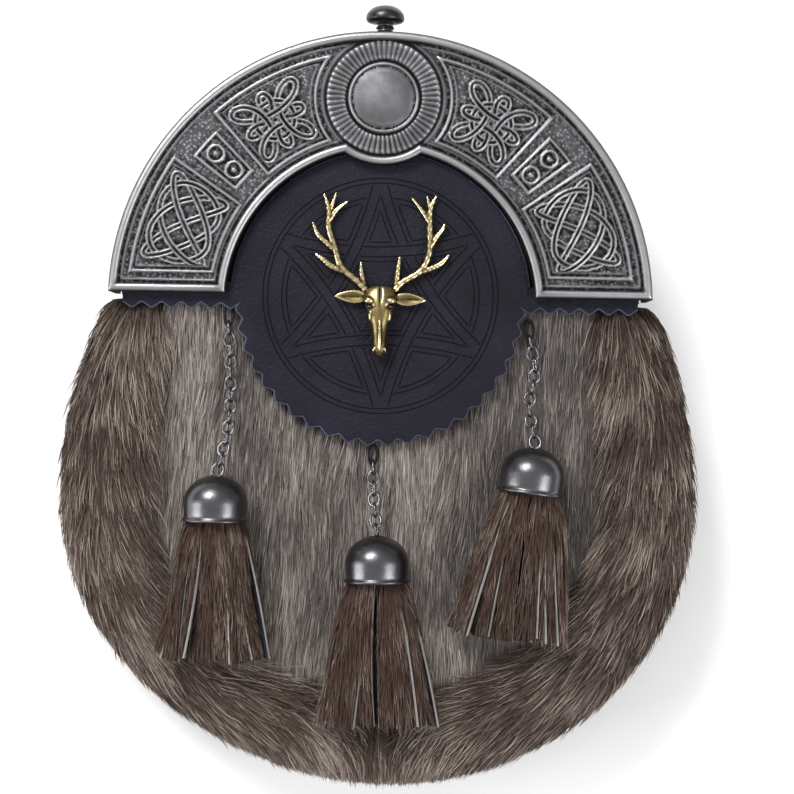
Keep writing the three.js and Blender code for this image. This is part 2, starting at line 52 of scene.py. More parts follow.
DOWN_THE_FRONT = np.array([0.0, -1.0, 0.0])

# -------- driving sizes, mm

BODY = dict(centre_y=-33, half_width=97, below=85.5, above=120, sway=4)
RIM = dict(width=24, end_angle=0.53, narrowing=0.28)
CANTLE = dict(centre_y=27, radius=82.5, inner=47, leg_y=29.5, lobe_y=89.4, lobe_radius=20.4)
PLATE_BACK = 36.9
PLATE_FACE = 39.3
APRON_BACK = 34.6
APRON_FACE = 36.6
APRON = dict(centre_y=28, radius=44.4, strip_y=26.4, strip_end=78.4, pitch=6, depth=1.8)
PANEL = dict(seam=30, crown=33, hidden_radius=66)

# The pouch is centred on its box, so its drawing is moved along y.
SHIFT_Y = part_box("cantle")[1][1] / MM - (CANTLE["centre_y"] + CANTLE["radius"])


def placed(points):
    """Drawing places in mm to frame places in metres."""
    return (np.asarray(points, dtype=float) + (0, SHIFT_Y, 0)) * MM


def drawn(points):
    """Frame places in metres to drawing places in mm."""
    return np.asarray(points, dtype=float) / MM - (0, SHIFT_Y, 0)


# -------- mesh helpers


def xyz(x, y, z):
    """Places from coordinates, each an array or a plain number."""
    return np.stack(np.broadcast_arrays(x, y, z), axis=-1)


def full_turn(count):
    return np.linspace(0, 2 * math.pi, count, endpoint=False)


def read_vectors(mesh, key="co"):
    """The places of a mesh's points, or their normals, a row each."""
    numbers = np.empty(len(mesh.vertices) * 3)
    mesh.vertices.foreach_get(key, numbers)
    return numbers.reshape(-1, 3)


def write_numbers(mesh, key, numbers):
    """Gives each point a number, for the materials to read."""
    layer = mesh.attributes.new(key, "FLOAT", "POINT")
    layer.data.foreach_set("value", np.asarray(numbers, dtype=np.float32))


def mesh_piece(name, points, faces, materials, uv=None, values=None):
    """An object from arrays. Points are in mm, and every face has the same number of corners."""
    faces = np.asarray(faces, dtype=np.int32)
    mesh = bpy.data.meshes.new(name)
    mesh.vertices.add(len(points))
    mesh.vertices.foreach_set("co", placed(points).astype(np.float32).ravel())
    mesh.loops.add(faces.size)
    mesh.loops.foreach_set("vertex_index", faces.ravel())
    mesh.polygons.add(len(faces))
    mesh.polygons.foreach_set("loop_start", np.arange(len(faces), dtype=np.int32) * faces.shape[1])
    if uv is not None:
        layer = mesh.uv_layers.new(name="OFBake")
        layer.data.foreach_set("uv", np.asarray(uv, dtype=np.float32)[faces.ravel()].ravel())
    for key, numbers in (values or {}).items():
        write_numbers(mesh, key, numbers)
    mesh.update(calc_edges=True)
    mesh.validate()
    mesh.shade_smooth()
    piece = bpy.data.objects.new(name, mesh)
    bpy.context.scene.collection.objects.link(piece)
    for material in materials:
        mesh.materials.append(material)
    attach(piece, "root")
    return piece


def grid_faces(rows, columns, wrap_rows=False, wrap_columns=False, start=0):
    """Quads between the points of a grid, stored row by row."""
    i = np.arange(rows if wrap_rows else rows - 1)
    j = np.arange(columns if wrap_columns else columns - 1)
    i, j = np.meshgrid(i, j, indexing="ij")
    down = (i + 1) % rows
    right = (j + 1) % columns
    corners = [i * columns + j, i * columns + right, down * columns + right, down * columns + j]
    return np.stack(corners, axis=-1).reshape(-1, 4) + start


def joined_grids(grids):
    """Several grids as one mesh. A grid is its points by rows and columns, and its wraps."""
    points, faces, start = [], [], 0
    for grid, wrap_rows, wrap_columns in grids:
        rows, columns = grid.shape[:2]
        points.append(grid.reshape(-1, 3))
        faces.append(grid_faces(rows, columns, wrap_rows, wrap_columns, start))
        start += rows * columns
    return np.concatenate(points), np.concatenate(faces)


def unit(vectors):
    return vectors / np.maximum(np.linalg.norm(vectors, axis=-1, keepdims=True), 1e-9)


def ripple(x, y, size, seed):
    """Smooth waves without a pattern, from about -1 to 1, with features of a given size."""
    draw = np.random.default_rng(seed)
    total = np.zeros(np.broadcast(x, y).shape)
    for _ in range(7):
        heading = draw.uniform(0, 2 * math.pi)
        stretch = draw.uniform(0.6, 1.7) * 2 * math.pi / size
        phase = draw.uniform(0, 2 * math.pi)
        total += np.sin(stretch * (x * math.cos(heading) + y * math.sin(heading)) + phase)
    return total / 3.2


def smoothstep(low, high, value):
    t = np.clip((value - low) / (high - low), 0, 1)
    return t * t * (3 - 2 * t)


def smooth_curve(points, count, closed=False):
    """Catmull-Rom curve through points, at `count` places."""
    points = np.asarray(points, dtype=float)
    size = len(points)
    spans = size if closed else size - 1
    t = np.linspace(0, spans, count, endpoint=not closed)
    k = np.minimum(t.astype(int), spans - 1)
    f = (t - k)[:, None]
    near = [n % size if closed else np.clip(n, 0, size - 1) for n in (k - 1, k, k + 1, k + 2)]
    a, b, c, d = (points[n] for n in near)
    return 0.5 * (2 * b + (c - a) * f + (2 * a - 5 * b + 4 * c - d) * f**2 + (3 * b - a - 3 * c + d) * f**3)


def tube_grid(route, radius, sides=10, closed=False):
    """Rings round a route. The radius is one number or one for each point."""
    route = np.asarray(route, dtype=float)
    if closed:
        ahead = np.roll(route, -1, axis=0) - np.roll(route, 1, axis=0)
    else:
        ahead = np.gradient(route, axis=0)
    ahead = unit(ahead)
    sideways = np.array([0.0, 1.0, 0.0])
    across = unit(np.cross(ahead, UP if abs(ahead[:, 2]).mean() < 0.8 else sideways))
    out = np.cross(across, ahead)
    turn = full_turn(sides)[:, None]
    radius = np.broadcast_to(radius, len(route))[:, None, None]
    ring = across[:, None] * np.cos(turn) + out[:, None] * np.sin(turn)
    return route[:, None] + radius * ring


def lathe_grid(profile, sides):
    """Profile rows of (radius, height) turned about the y axis, each round a ring."""
    profile = np.asarray(profile, dtype=float)
    turn = full_turn(sides)
    radius = profile[:, :1]
    return xyz(radius * np.cos(turn), profile[:, 1:], radius * np.sin(turn))


# -------- material helpers


class Finish:
    """A material's node tree, with one Principled shader."""

    def __init__(self, name, roughness=0.5, metallic=0.0, specular=0.5):
        self.material = bpy.data.materials.new(name)
        self.material.use_nodes = True
        self.tree = self.material.node_tree
        self.shader = self.tree.nodes["Principled BSDF"]
        self.shader.inputs["Roughness"].default_value = roughness
        self.shader.inputs["Metallic"].default_value = metallic
        self.shader.inputs["Specular IOR Level"].default_value = specular

    def node(self, kind, inputs=None, **settings):
        made = self.tree.nodes.new("ShaderNode" + kind)
        for key, value in settings.items():
            setattr(made, key, value)
        for key, value in (inputs or {}).items():
            if isinstance(value, bpy.types.NodeSocket):
                self.tree.links.new(value, made.inputs[key])
            else:
                made.inputs[key].default_value = value
        return made

    def place(self):
        return self.node("TexCoord").outputs["Object"]

    def noise(self, per_mm, detail=4.0, rough=0.55, vector=None):
        inputs = {"Scale": per_mm / MM, "Detail": detail, "Roughness": rough}
        inputs["Vector"] = vector or self.place()
        return self.node("TexNoise", inputs).outputs["Fac"]

    def cells(self, per_mm):
        inputs = {"Scale": per_mm / MM, "Vector": self.place()}
        return self.node("TexVoronoi", inputs, feature="F1").outputs["Distance"]

    def value(self, name):
        return self.node("Attribute", attribute_name=name).outputs["Fac"]

    def math(self, operation, a, b):
        return self.node("Math", {0: a, 1: b}, operation=operation).outputs[0]

    def ramp(self, source, *stops):
        """A colour ramp. Stops are (place, colour), and a plain number is a grey."""
        made = self.node("ValToRGB", {"Fac": source})
        elements = made.color_ramp.elements
        while len(elements) < len(stops):
            elements.new(0.5)
        for element, (place, color) in zip(elements, stops):
            element.position = place
            element.color = (*color, 1) if isinstance(color, tuple) else (color, color, color, 1)
        return made.outputs["Color"]

    def mix(self, share, a, b):
        return self.node("Mix", {0: share, 6: a, 7: b}, data_type="RGBA").outputs[2]

    def feed(self, socket, output):
        self.tree.links.new(output, self.shader.inputs[socket])

    def bump(self, height, strength, distance_mm):
        inputs = {"Height": height, "Strength": strength, "Distance": distance_mm * MM}
        self.feed("Normal", self.node("Bump", inputs).outputs["Normal"])


def metal_finish(name, tones, roughness, grain, stippled=False):
    """Metal with patina in its hollows. `shine` runs from 0 in a hollow to 1 on an edge.

    The tones are those of hollows, flats and edges. Where `ground` is 1, a stippled metal is
    punched all over with small dots.
    """
    deep, mid, high = tones
    finish = Finish(name, metallic=1.0)
    mottle = finish.noise(0.35, 5)
    shine = finish.math("MULTIPLY", finish.value("shine"), 0.85)
    toned = finish.math("ADD", shine, finish.math("MULTIPLY", mottle, 0.2))
    relief = finish.noise(grain, 3)
    if stippled:
        dots = finish.ramp(finish.cells(0.95), (0.15, 1.0), (0.6, 0.0))
        dots = finish.math("MULTIPLY", dots, finish.value("ground"))
        toned = finish.math("ADD", toned, finish.math("MULTIPLY", finish.math("SUBTRACT", dots, 0.42), 0.34))
        relief = finish.math("ADD", finish.math("MULTIPLY", dots, 3.0), relief)
    finish.feed("Base Color", finish.ramp(toned, (0.08, deep), (0.5, mid), (0.95, high)))
    finish.feed("Roughness", finish.ramp(toned, (0.1, min(1.0, roughness * 1.9)), (0.9, roughness)))
    finish.bump(relief, 0.35, 0.12)
    return finish.material


def leather_finish(name, dark, light, rough, specular=0.22):
    """Leather with fine creases and pores."""
    finish = Finish(name, roughness=rough, specular=specular)
    pores = finish.cells(1.1)
    creases = finish.noise(0.6, 7, 0.65)
    tone = finish.math("ADD", finish.noise(0.05, 3), finish.math("MULTIPLY", creases, 0.25))
    finish.feed("Base Color", finish.ramp(tone, (0.35, dark), (0.85, light)))
    finish.feed("Roughness", finish.ramp(creases, (0.3, rough - 0.07), (0.7, rough + 0.1)))
    finish.bump(finish.math("ADD", pores, finish.math("MULTIPLY", creases, 1.4)), 0.9, 0.22)
    return finish.material


def fur_finish(name, dark, light):
    """Hair coloured by its own map: u goes from a dark to a light hair, v from root to tip."""
    finish = Finish(name, roughness=0.62, specular=0.28)
    at = finish.node("SeparateXYZ", {0: finish.node("UVMap", uv_map="OFBake").outputs[0]}).outputs
    shades = [finish.ramp(at["Y"], *stops) for stops in (dark, light)]
    finish.feed("Base Color", finish.mix(at["X"], *shades))
    return finish.material


def hide_and_gap_shade_finish(name, dark, light):
    """The skin under the fur, with the grain of hair roots. Its near-black colour is partly the dark skin and
    partly painted shade in the gaps between the hairs.
    """
    finish = Finish(name, roughness=0.9, specular=0.1)
    stretched = finish.node("Mapping", {"Vector": finish.place(), "Scale": (1.0, 0.18, 1.0)}).outputs[0]
    grain = finish.noise(1.4, 4, 0.6, stretched)
    finish.feed("Base Color", finish.ramp(grain, (0.35, dark), (0.7, light)))
    finish.bump(grain, 0.7, 0.4)
    return finish.material


SILVER_TONES = ((0.012, 0.012, 0.013), (0.135, 0.132, 0.14), (0.50, 0.49, 0.50))
NICKEL_TONES = ((0.02, 0.02, 0.022), (0.15, 0.148, 0.158), (0.42, 0.41, 0.43))
BRASS_TONES = ((0.012, 0.010, 0.006), (0.22, 0.165, 0.07), (0.80, 0.68, 0.40))
SILVER = metal_finish("cast_silver", SILVER_TONES, 0.36, 2.2, stippled=True)
GUNMETAL = metal_finish("black_nickel", NICKEL_TONES, 0.2, 1.2)
BRASS = metal_finish("old_brass", BRASS_TONES, 0.22, 1.6)
LEATHER = leather_finish("dark_leather", (0.0035, 0.003, 0.007), (0.0115, 0.010, 0.020), 0.55, 0.17)
BACK_LEATHER = leather_finish("back_leather", (0.012, 0.011, 0.014), (0.035, 0.033, 0.040), 0.58, 0.35)
CUT_EDGE = leather_finish("cut_edge", (0.035, 0.038, 0.065), (0.10, 0.11, 0.17), 0.7)
# The pressed lines' channel colour, near-black as painted shade in the groove.
TOOLED_GROOVE_SHADE = leather_finish("tooled_line", (0.0008, 0.0008, 0.001), (0.002, 0.002, 0.003), 0.95)
THREAD = leather_finish("black_thread", (0.004, 0.004, 0.005), (0.012, 0.012, 0.014), 0.75)
# The hide under all the fur: dark skin, made near-black also as painted shade between the hairs.
HIDE_AND_GAP_SHADE = hide_and_gap_shade_finish("fur_hide_and_gap_shade", (0.012, 0.009, 0.008), (0.05, 0.04, 0.034))
GREY_FUR = fur_finish(
    "grey_fur",
    ((0.0, (0.018, 0.014, 0.013)), (0.45, (0.058, 0.048, 0.045)), (1.0, (0.105, 0.090, 0.086))),
    ((0.0, (0.10, 0.08, 0.068)), (0.4, (0.33, 0.285, 0.25)), (1.0, (0.50, 0.44, 0.395))),
)
BROWN_FUR = fur_finish(
    "brown_fur",
    ((0.0, (0.006, 0.0035, 0.003)), (0.5, (0.032, 0.017, 0.011)), (1.0, (0.072, 0.044, 0.033))),
    ((0.0, (0.028, 0.017, 0.013)), (0.45, (0.17, 0.122, 0.098)), (1.0, (0.54, 0.47, 0.41))),
)
TASSEL_FUR = fur_finish(
    "tassel_fur",
    ((0.0, (0.006, 0.003, 0.002)), (0.5, (0.040, 0.018, 0.010)), (1.0, (0.066, 0.036, 0.025))),
    ((0.0, (0.022, 0.011, 0.008)), (0.45, (0.125, 0.078, 0.057)), (1.0, (0.56, 0.48, 0.42))),
)

# -------- camera, light and floor


def camera():
    """Straight above, turned so that the pouch leans a little clockwise."""
    data = bpy.data.cameras.new("camera")
    data.lens = 89.5
    eye = bpy.data.objects.new("camera", data)
    eye.location = (0.0056, -0.0015, 0.637)
    eye.rotation_euler = (0, 0, math.radians(1))
    bpy.context.scene.collection.objects.link(eye)
    bpy.context.scene.camera = eye


def area_light(name, place, aim, size, watts):
    data = bpy.data.lights.new(name, "AREA")
    data.shape = "RECTANGLE"
    data.size, data.size_y = size
    data.energy = watts
    lamp = bpy.data.objects.new(name, data)
    lamp.location = place
    lamp.rotation_euler = (Vector(aim) - Vector(place)).to_track_quat("-Z", "Y").to_euler()
    bpy.context.scene.collection.objects.link(lamp)


def sky():
    """Bright overhead and darker towards the horizon, so that metal has something to mirror."""
    world = bpy.data.worlds.new("studio")
    bpy.context.scene.world = world
    world.use_nodes = True
    nodes, links = world.node_tree.nodes, world.node_tree.links
    height = nodes.new("ShaderNodeSeparateXYZ")
    links.new(nodes.new("ShaderNodeTexCoord").outputs["Generated"], height.inputs[0])
    ramp = nodes.new("ShaderNodeValToRGB")
    links.new(height.outputs["Z"], ramp.inputs["Fac"])
    for element, (place, tone) in zip(ramp.color_ramp.elements, ((0.1, 0.25), (0.9, 0.95))):
        element.position = place
        element.color = (tone, tone, tone, 1)
    links.new(ramp.outputs["Color"], nodes["Background"].inputs["Color"])
    nodes["Background"].inputs["Strength"].default_value = 0.7


def floor():
    finish = Finish("pale_floor", roughness=0.9, specular=0.1)
    finish.feed("Base Color", finish.ramp(finish.noise(0.02, 2), (0.3, 0.93), (0.7, 0.96)))
    mesh = bpy.data.meshes.new("floor")
    half, low = 2.0, -0.0002
    corners = [(-half, -half, low), (half, -half, low), (half, half, low), (-half, half, low)]
    mesh.from_pydata(corners, [], [(0, 1, 2, 3)])
    mesh.materials.append(finish.material)
    slab = bpy.data.objects.new("floor", mesh)
    bpy.context.scene.collection.objects.link(slab)


camera()
sky()
floor()
area_light("key", (-0.45, 0.75, 0.85), (0, 0, 0.02), (0.5, 0.35), 13)
area_light("fill", (0.75, -0.35, 0.8), (0, 0, 0.02), (0.7, 0.5), 7)
area_light("low_left", (-0.8, -0.2, 0.35), (0, 0, 0.02), (0.4, 0.5), 4)
bpy.context.scene.view_settings.view_transform = "Standard"

# -------- body outline


def swayed(points):
    """The outline's lower half leans to one side."""
    drop = np.maximum(0, BODY["centre_y"] - points[..., 1]) / BODY["below"]
    moved = points.copy()
    moved[..., 0] += BODY["sway"] * drop * drop
    return moved


# The fur roll's section: how far inside the outline, and how high.
RIM_OUTSIDE = [(8.5, 6.9), (1.6, 12), (0, 19), (2.4, 27), (9, 32.4), (16.5, 34), (24, 32)]


def rim_frame(angle):
    """The outline point and the way inward, for angles about the ellipses' centre."""
    above = np.sin(angle) > 0
    reach = np.where(above, BODY["above"], BODY["below"])
    edge = np.stack([BODY["half_width"] * np.cos(angle), BODY["centre_y"] + reach * np.sin(angle)], axis=-1)
    level = np.stack([-np.sign(np.cos(angle)), np.zeros_like(angle)], axis=-1)
    normal = unit(np.stack([-np.cos(angle) / BODY["half_width"], -np.sin(angle) / reach], axis=-1))
    inward = np.where(above[..., None], level, normal)
    rise = np.sin(angle) / math.sin(RIM["end_angle"])
    narrowing = np.where(above, 1 - RIM["narrowing"] * rise**2, 1)
    return edge, inward, narrowing


def rim_surface(angle, share):
    """Places on the fur roll. `share` runs over it from the foot outside to the seam."""
    section = smooth_curve(RIM_OUTSIDE, 121)
    steps = np.arange(len(section))
    at = np.clip(share, 0, 1) * steps[-1]
    inset, height = (np.interp(at, steps, column) for column in section.T)
    edge, inward, narrowing = rim_frame(angle)
    flat = edge + inward * (inset * narrowing)[..., None]
    return swayed(np.concatenate([flat, height[..., None]], axis=-1))


# -------- fur


def beyond_outline(points):
    """How far points stand outside the body's outline, in mm."""
    drop = np.maximum(0, BODY["centre_y"] - points[:, 1]) / BODY["below"]
    x = points[:, 0] - BODY["sway"] * np.minimum(drop, 1) ** 2
    y = points[:, 1] - BODY["centre_y"]
    reach = np.where(y > 0, BODY["above"], BODY["below"])
    radius = np.hypot(x, y)
    return radius * (1 - 1 / np.maximum(np.hypot(x / BODY["half_width"], y / reach), 1e-6))


def kept_inside(roots, heading, length, allowance):
    """Shortens the hairs whose tips would stand too far outside the outline."""
    length = length.copy()
    for _ in range(9):
        tips = roots + heading * length[:, None]
        length *= np.where(beyond_outline(tips) > allowance, 0.86, 1)
    return length


GREY_COAT = (GREY_FUR, "grey_fur")
BROWN_COAT = (BROWN_FUR, "brown_fur")
TASSEL_COAT = (TASSEL_FUR, "brown_fur")
ABOVE_FLOOR = 0.3
ZONE_SEED = 91


def hair_ribbons(name, hairs, seed, coat, clump=None, segments=3):
    """Hair as tapering ribbons in one mesh, of a coat's material. The coat's slot is not used.

    For each hair, `hairs` has where it grows, the way it lies, the way it stands up, its length,
    its width and its tone. Hairs in a clump lean to the tip of the clump's first hair.
    """
    roots, heading, lift, length, width, tone = hairs
    material, slot = coat
    draw = np.random.default_rng(seed)
    count = len(roots)
    s = np.linspace(0, 1, segments + 1)[None, :, None]
    rise = s * (1 - 0.62 * s)
    line = roots[:, None] + length[:, None, None] * (heading[:, None] * s + lift[:, None] * rise)
    if clump:
        spacing, pull = clump
        centres = roots[::spacing]
        tree = kdtree.KDTree(len(centres))
        for k, centre in enumerate(centres):
            tree.insert(centre, k)
        tree.balance()
        nearest = np.array([tree.find(root)[1] for root in roots])
        offset = line[::spacing][nearest] - line
        line = line + offset * (s**1.5) * pull
    across = unit(np.cross(heading, UP) + draw.normal(0, 0.38, (count, 3)))
    taper = np.array([*[0.8, 1.0, 0.75][:segments], 0.12])
    half = 0.5 * width[:, None, None] * taper[None, :, None] * across[:, None]
    points = np.stack([line - half, line + half], axis=2).reshape(-1, 3)
    points[:, 2] = np.maximum(points[:, 2], ABOVE_FLOOR)
    rows = np.arange(count)[:, None] * (2 * segments + 2) + 2 * np.arange(segments)[None, :]
    faces = np.stack([rows, rows + 1, rows + 3, rows + 2], axis=-1).reshape(-1, 4)
    v = np.broadcast_to(s, (count, segments + 1, 1))
    u = np.broadcast_to(np.clip(tone, 0.01, 0.99)[:, None, None], v.shape)
    uv = np.repeat(np.concatenate([u, np.clip(v, 0.01, 0.99)], axis=-1), 2, axis=1).reshape(-1, 2)
    return mesh_piece(name, points, faces, [material], uv=uv)


def rim_hide():
    """The skin of the fur roll, down to its foot inside."""
    angles = np.linspace(math.pi - RIM["end_angle"], 2 * math.pi + RIM["end_angle"], 160)
    shares = np.linspace(0, 1, 28)
    grid = rim_surface(*np.meshgrid(angles, shares, indexing="ij"))
    foot = np.concatenate([grid[:, -1:, :] - (0, 0, 6), grid[:, :1, :]], axis=1)
    points, faces = joined_grids([(grid, False, False), (foot, False, False)])
    mesh_piece("fur_roll_hide", points, faces, [HIDE_AND_GAP_SHADE])


def rim_hair(name, start, stop, count, seed, tone_shift):
    """Long guard hair over a stretch of the roll, flowing down it to the bottom."""
    draw = np.random.default_rng(seed)
    angle = draw.uniform(start, stop, count)
    share = draw.beta(1.25, 1.0, count)
    roots = rim_surface(angle, share)
    step = 0.01
    _, inward, _ = rim_frame(angle)
    ahead = rim_surface(angle + step, share) - roots
    over = rim_surface(angle, share + step) - rim_surface(angle, share - step)
    normal = unit(np.cross(over, ahead))
    into_roll = np.concatenate([inward, -np.ones((count, 1))], axis=1)
    normal *= np.where(np.sum(normal * into_roll, axis=1) > 0, -1, 1)[:, None]
    # Down each side the hair follows the roll, and at the bottom it turns outward.
    from_bottom = np.abs(angle - 1.5 * math.pi)
    flow = unit(ahead) * np.where(angle < 1.5 * math.pi, 1, -1)[:, None]
    flow *= smoothstep(0, 0.75, from_bottom)[:, None]
    outward = np.concatenate([-inward, np.zeros((count, 1))], axis=1)
    fan = 0.42 - 0.85 * share + draw.normal(0, 0.2, count)
    fan += 0.2 * (1 - smoothstep(0, 1.0, from_bottom)) + 0.09 * ripple(roots[:, 0], roots[:, 1], 18, seed + 1)
    droop = 0.12 + 0.5 * (1 - smoothstep(0, 0.8, from_bottom))
    heading = unit(flow + DOWN_THE_FRONT * droop[:, None] + outward * fan[:, None])
    lift = normal * draw.uniform(0.22, 0.5, count)[:, None]
    length = draw.uniform(10.5, 17.5, count) * (0.45 + 0.55 * smoothstep(0, 0.55, share))
    length = kept_inside(roots, heading + 0.4 * lift, length, draw.uniform(-3, 3.5, count))
    patches = 0.2 * ripple(roots[:, 0] + 40, roots[:, 1], 8, seed + 2)
    patches += 0.24 * ripple(roots[:, 0], roots[:, 1], 34, ZONE_SEED)
    tone = np.clip(draw.beta(0.5, 1.3, count) + patches + tone_shift - 0.05, 0, 1)
    width = draw.uniform(0.22, 0.42, count)
    hairs = (roots, heading, lift, length, width, tone)
    return hair_ribbons(name, hairs, seed + 3, BROWN_COAT, (14, 0.36))


def panel_height(y, share):
    """The front panel's dome, which is flat under the cantle."""
    dome = PANEL["seam"] + (PANEL["crown"] - PANEL["seam"]) * (1 - share**4)
    flat = smoothstep(10, CANTLE["leg_y"], y)
    return dome * (1 - flat) + PANEL["crown"] * flat


def panel_reach(angle):
    """How far the front panel reaches from the ellipses' centre."""
    inset = RIM["width"] - 3
    along = np.where(np.sin(angle) > 0, BODY["above"], BODY["below"]) - inset
    ellipse = 1 / np.hypot(np.cos(angle) / (BODY["half_width"] - inset), np.sin(angle) / along)
    lift = CANTLE["centre_y"] - BODY["centre_y"]
    under = PANEL["hidden_radius"] ** 2 - (lift * np.cos(angle)) ** 2
    circle = np.where(under > 0, lift * np.sin(angle) + np.sqrt(np.maximum(under, 0)), 0)
    return np.maximum(ellipse, circle)


def panel_point(angle, share):
    reach = panel_reach(angle) * share
    x = np.cos(angle) * reach
    y = BODY["centre_y"] + np.sin(angle) * reach
    return swayed(xyz(x, y, panel_height(y, share) - 0.4))


def panel_hide():
    angles, shares = full_turn(120), np.linspace(0.02, 1, 30)
    grid = panel_point(*np.meshgrid(angles, shares, indexing="ij"))
    faces = grid_faces(len(angles), len(shares), wrap_rows=True)
    mesh_piece("front_hide", grid.reshape(-1, 3), faces, [HIDE_AND_GAP_SHADE])


def panel_tone(x, y):
    """The pelt's zones: pale at the left and the middle, darker at the right."""
    left = 0.46 * np.exp(-(((x + 57) / 12) ** 2))
    middle = 0.44 * np.exp(-(((x - 6) / 20) ** 2)) + 0.24 * np.exp(-(((x + 26) / 7) ** 2))
    right = 0.06 * np.exp(-(((x - 47) / 6) ** 2))
    bottom = 0.34 * smoothstep(-50, -95, y)
    return 0.01 + left + middle + right + bottom


FRONT = dict(hairs=17500, half_width=78, rows=(-116, 34))


def panel_hair(name, low_x, high_x, seed):
    """Short sleek hair, straight down the front."""
    draw = np.random.default_rng(seed)
    # More places than hairs are drawn, because some fall outside the panel or under the apron.
    spare = int(FRONT["hairs"] * 2.6)
    x = draw.uniform(low_x, high_x, spare)
    y = draw.uniform(*FRONT["rows"], spare)
    sway = BODY["sway"] * (np.maximum(0, BODY["centre_y"] - y) / BODY["below"]) ** 2
    angle = np.arctan2(y - BODY["centre_y"], x - sway)
    share = np.hypot(x - sway, y - BODY["centre_y"]) / panel_reach(angle)
    covered = np.hypot(x, y - APRON["centre_y"]) < APRON["radius"] - 5
    kept = np.flatnonzero((share < 1) & ~covered)[: FRONT["hairs"]]
    x, y, share = x[kept], y[kept], share[kept]
    roots = xyz(x, y, panel_height(y, share) - 0.5)
    lean = -0.05 + 0.10 * ripple(x, y * 0.5, 26, seed + 1) + draw.normal(0, 0.09, len(x))
    heading = unit(xyz(lean, -1.0, -0.02))
    lift = UP * draw.uniform(0.10, 0.26, len(x))[:, None]
    tone = panel_tone(x, y) + 0.13 * ripple(x, y * 0.22, 7, seed + 2)
    tone += 0.1 * ripple(x * 2.4, y * 0.4, 9, seed + 4)
    tone = np.clip(tone + draw.normal(0, 0.24, len(x)), 0, 1)
    length = draw.uniform(8, 13, len(x))
    width = draw.uniform(0.22, 0.4, len(x))
    hairs = (roots, heading, lift, length, width, tone)
    return hair_ribbons(name, hairs, seed + 3, GREY_COAT, (9, 0.35))


RIM_HAIRS = 21500
# How far round from its ends the roll's side stretches reach.
SIDE_ANGLE = 1.55
# How much paler or darker the hair is on each stretch of the roll.
RIM_SHIFTS = {"left": -0.06, "bottom": 0.03, "right": -0.09}


def fur():
    first = math.pi - RIM["end_angle"]
    last = 2 * math.pi + RIM["end_angle"]
    stops = [first, first + SIDE_ANGLE, last - SIDE_ANGLE, last]
    stretches = [
        rim_hair(f"rim_fur_{side}", stops[k], stops[k + 1], RIM_HAIRS, 11 + 10 * k, shift)
        for k, (side, shift) in enumerate(RIM_SHIFTS.items())
    ]
    rim_hide()
    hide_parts("fur_gusset")
    panel_hide()
    left = panel_hair("front_fur_left", -FRONT["half_width"], 0, 61)
    panel_hair("front_fur_right", 0, FRONT["half_width"], 71)
    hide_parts("fur_front_panel")


fur()

# -------- cantle


def ridge(distance, half_width, height):
    """A rounded raised line, from the distance to its middle."""
    return height * np.sqrt(np.clip(1 - (distance / half_width) ** 2, 0, 1))


STRAND_HALF = 1.02


def knot_relief(points, strands):
    """An interlaced knot. A strand is its points and how high it lies at each of them."""
    best = np.full(len(points), -9.0)
    relief = np.zeros(len(points))
    for line, level in strands:
        apart = np.linalg.norm(points[:, None] - line[None], axis=2)
        nearest = apart.argmin(axis=1)
        distance = apart[np.arange(len(points)), nearest]
        lies = level[nearest]
        upper = (distance < STRAND_HALF) & (lies > best) & (nearest > 0) & (nearest < len(line) - 1)
        edges = ridge(distance - STRAND_HALF * 0.68, STRAND_HALF * 0.36, 0.5)
        relief[upper] = (0.12 + edges + 0.06 * lies)[upper]
        best[upper] = lies[upper]
    return relief


def woven(curve, weave, phase, arcs, to_panel):
    """A closed curve cut into arcs that pass over and under each other."""
    size = 619
    t = np.linspace(0, 2 * math.pi, size + 1)[:-1]
    line = to_panel(*curve(t))
    level = np.sin(weave * t + phase)
    cuts = np.linspace(0, size, arcs + 1).astype(int)
    runs = [np.arange(a - 2, b + 3) % size for a, b in zip(cuts, cuts[1:])]
    return [(line[run], level[run]) for run in runs]


def polar_panel(radius, angle, half_height, half_width):
    """Maps a unit square on to a piece of the cantle's ring, right of the centre line."""

    def to_panel(u, v):
        rho = radius + half_height * v
        phi = angle + half_width / radius * u
        return np.stack([rho * np.cos(phi), CANTLE["centre_y"] + rho * np.sin(phi)], axis=-1)

    return to_panel


def four_loops(t):
    x = (np.cos(t) + 0.72 * np.cos(3 * t)) / 1.4
    y = (np.sin(t) - 0.72 * np.sin(3 * t)) / 1.4
    return x, y


def upper_knot(t):
    """Four loops that point to the corners."""
    x, y = four_loops(t)
    return (x + y) * 0.78, (y - x) * 0.78


def inner_knot(t):
    """Four smaller loops between them."""
    x, y = four_loops(t)
    return 0.78 * x, 0.78 * y


def lower_knot(t):
    return 1.02 * np.sin(3 * t), 0.98 * np.sin(4 * t)


def ring_of(size):
    return lambda t: (size * np.cos(t), size * np.sin(t))


PANELS = dict(inner=51.8, outer=76.4, upper_side=0.843, concave=20.7, lower_side=0.6, lower_y=35.8)
RING_PANEL = dict(inner=56, outer=71.7, low=0.658, high=0.789, rows=(60.0, 67.4))
MEDAL = dict(disc=9.4, reach=19.2, flutes=60, band_start=11.3, band_end=17.5)


def panel_depths(rho, phi, boss, y):
    """How far inside its frame each place lies, for the upper, the lower and the ring panel."""
    between = [PANELS["outer"] - rho, rho - PANELS["inner"]]
    upper = [*between, (phi - PANELS["upper_side"]) * rho, boss - PANELS["concave"]]
    lower = [*between, (PANELS["lower_side"] - phi) * rho, y - PANELS["lower_y"]]
    rings = [
        RING_PANEL["outer"] - rho,
        rho - RING_PANEL["inner"],
        (phi - RING_PANEL["low"]) * rho,
        (RING_PANEL["high"] - phi) * rho,
    ]
    return [np.minimum.reduce(sides) for sides in (upper, lower, rings)]


